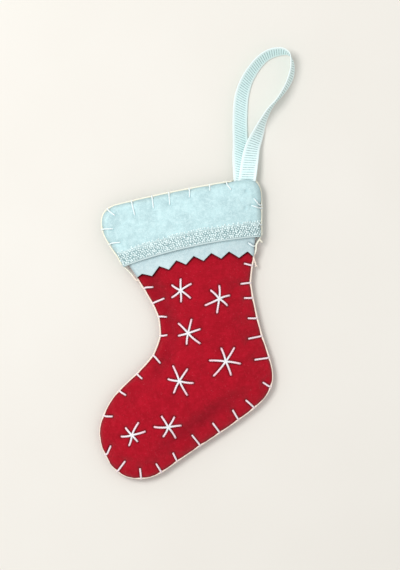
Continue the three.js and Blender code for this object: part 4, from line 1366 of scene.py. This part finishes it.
def top_share(rise):
    """Nought on most of the braid, rising to one at its ragged top."""
    return np.clip((rise - BRAID_WIDTH + BRAID_FADE) / BRAID_FADE, 0, 1)


def braid_band():
    shape = outside_face("silver_braid", 1)
    piece = subdivided(make_piece("silver_braid_band", shape, metallic_braid), 3)
    points = read_points(piece)
    lift(piece, lumps(points) - BRAID_SINK - BRAID_TOP_SINK * top_share(above_low_edge(points)))
    thicken(piece, 1, cuff_edge, BRAID_THICKNESS)
    rise = above_low_edge(read_points(piece))
    plain = np.clip((PLAIN_EDGE_WIDTH - rise) / PLAIN_EDGE_FADE, 0, 1)
    # The band is painted dark in the middle, as painted shade between the knots.
    keep_number(piece, "glint_and_gap_shade", EDGE_GLINT * np.maximum(plain, top_share(rise)))
    return piece


def braid_knots(ground):
    draw = random.Random(KNOT_SEED)
    whole = bmesh.new()
    glints = []
    count = round(np.linalg.norm(cuff_low_run) / KNOT_SPACING)
    row_height = (BRAID_WIDTH - PLAIN_EDGE_WIDTH) / KNOT_ROWS
    for row in range(KNOT_ROWS + 1):
        for step in range(-KNOTS_BEYOND, count + KNOTS_BEYOND):
            share = (step + 0.5 * (row % 2) + draw.uniform(-KNOT_DRIFT, KNOT_DRIFT)) / count
            rise = PLAIN_EDGE_WIDTH + row_height * (row + 0.5 + draw.uniform(-KNOT_DRIFT, KNOT_DRIFT))
            place = cuff_low_edge(share) + braid_up * rise
            height = ground.height(*place, None)
            lean = KNOT_LEAN * (1 if row % 2 else -1) + draw.uniform(-KNOT_LEAN_DRIFT, KNOT_LEAN_DRIFT)
            turn = Matrix.Rotation(lean, 3, "Z") @ Matrix.Rotation(draw.uniform(-KNOT_TIP, KNOT_TIP), 3, "Y")
            sides = [side * draw.uniform(*KNOT_SIZE_SHARES) for side in KNOT_SIZE]
            # Each knot's brightness is a painted glint.
            shine = draw.uniform(*KNOT_SHINE)
            if height is None or (row > KNOT_ROWS - 2 and draw.random() < MISSING_KNOTS):
                continue
            pebble = bmesh.ops.create_icosphere(whole, subdivisions=1, radius=0.5)["verts"]
            bmesh.ops.scale(whole, verts=pebble, vec=sides)
            bmesh.ops.rotate(whole, verts=pebble, cent=(0, 0, 0), matrix=turn)
            bmesh.ops.translate(whole, verts=pebble, vec=(*place, height + KNOT_RISE))
            glints += [shine] * len(pebble)
    piece = make_piece("silver_braid_knots", whole, metallic_braid)
    keep_number(piece, "glint_and_gap_shade", glints)
    print("braid", len(glints) // len(pebble), "knots")
    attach(piece, "stocking")


band = braid_band()
braid_knots(Ground((band, cuff_front), 1))

# %% [markdown]
# At the right end of the braid a strand of its foil has come loose and lies curled on the under layer.

# %% Loose foil strand
FOIL_PLACES = ((28.2, 32.4), (29.0, 32.0), (28.8, 31.2), (28.2, 31.5), (28.0, 30.9), (27.7, 30.3))
FOIL_RISE = 0.12 * MM
FOIL_THICKNESS = 0.32

foil_line = [front_ground.place(spot, FOIL_RISE) for spot in placed(FOIL_PLACES)]
twisted_threads(
    "braid_loose_strand", [foil_line], FOIL_THICKNESS, finish=metallic_braid,
)

# %% [markdown]
# The felt sheets, the stuffing and the braid band ride on the stocking body of the plan, and each stands for
# the solid that it replaces.


for sheet, node in (
    (boot_front, "front_panel"), (boot_back, "back_panel"), (cuff_front, "cuff_front"),
    (cuff_back, "cuff_back"), (cuff_underlay, "cuff_underlay"), (stuffing, "stuffing"),
    (band, "silver_braid"),
):
    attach(sheet, "stocking")
    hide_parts(node)
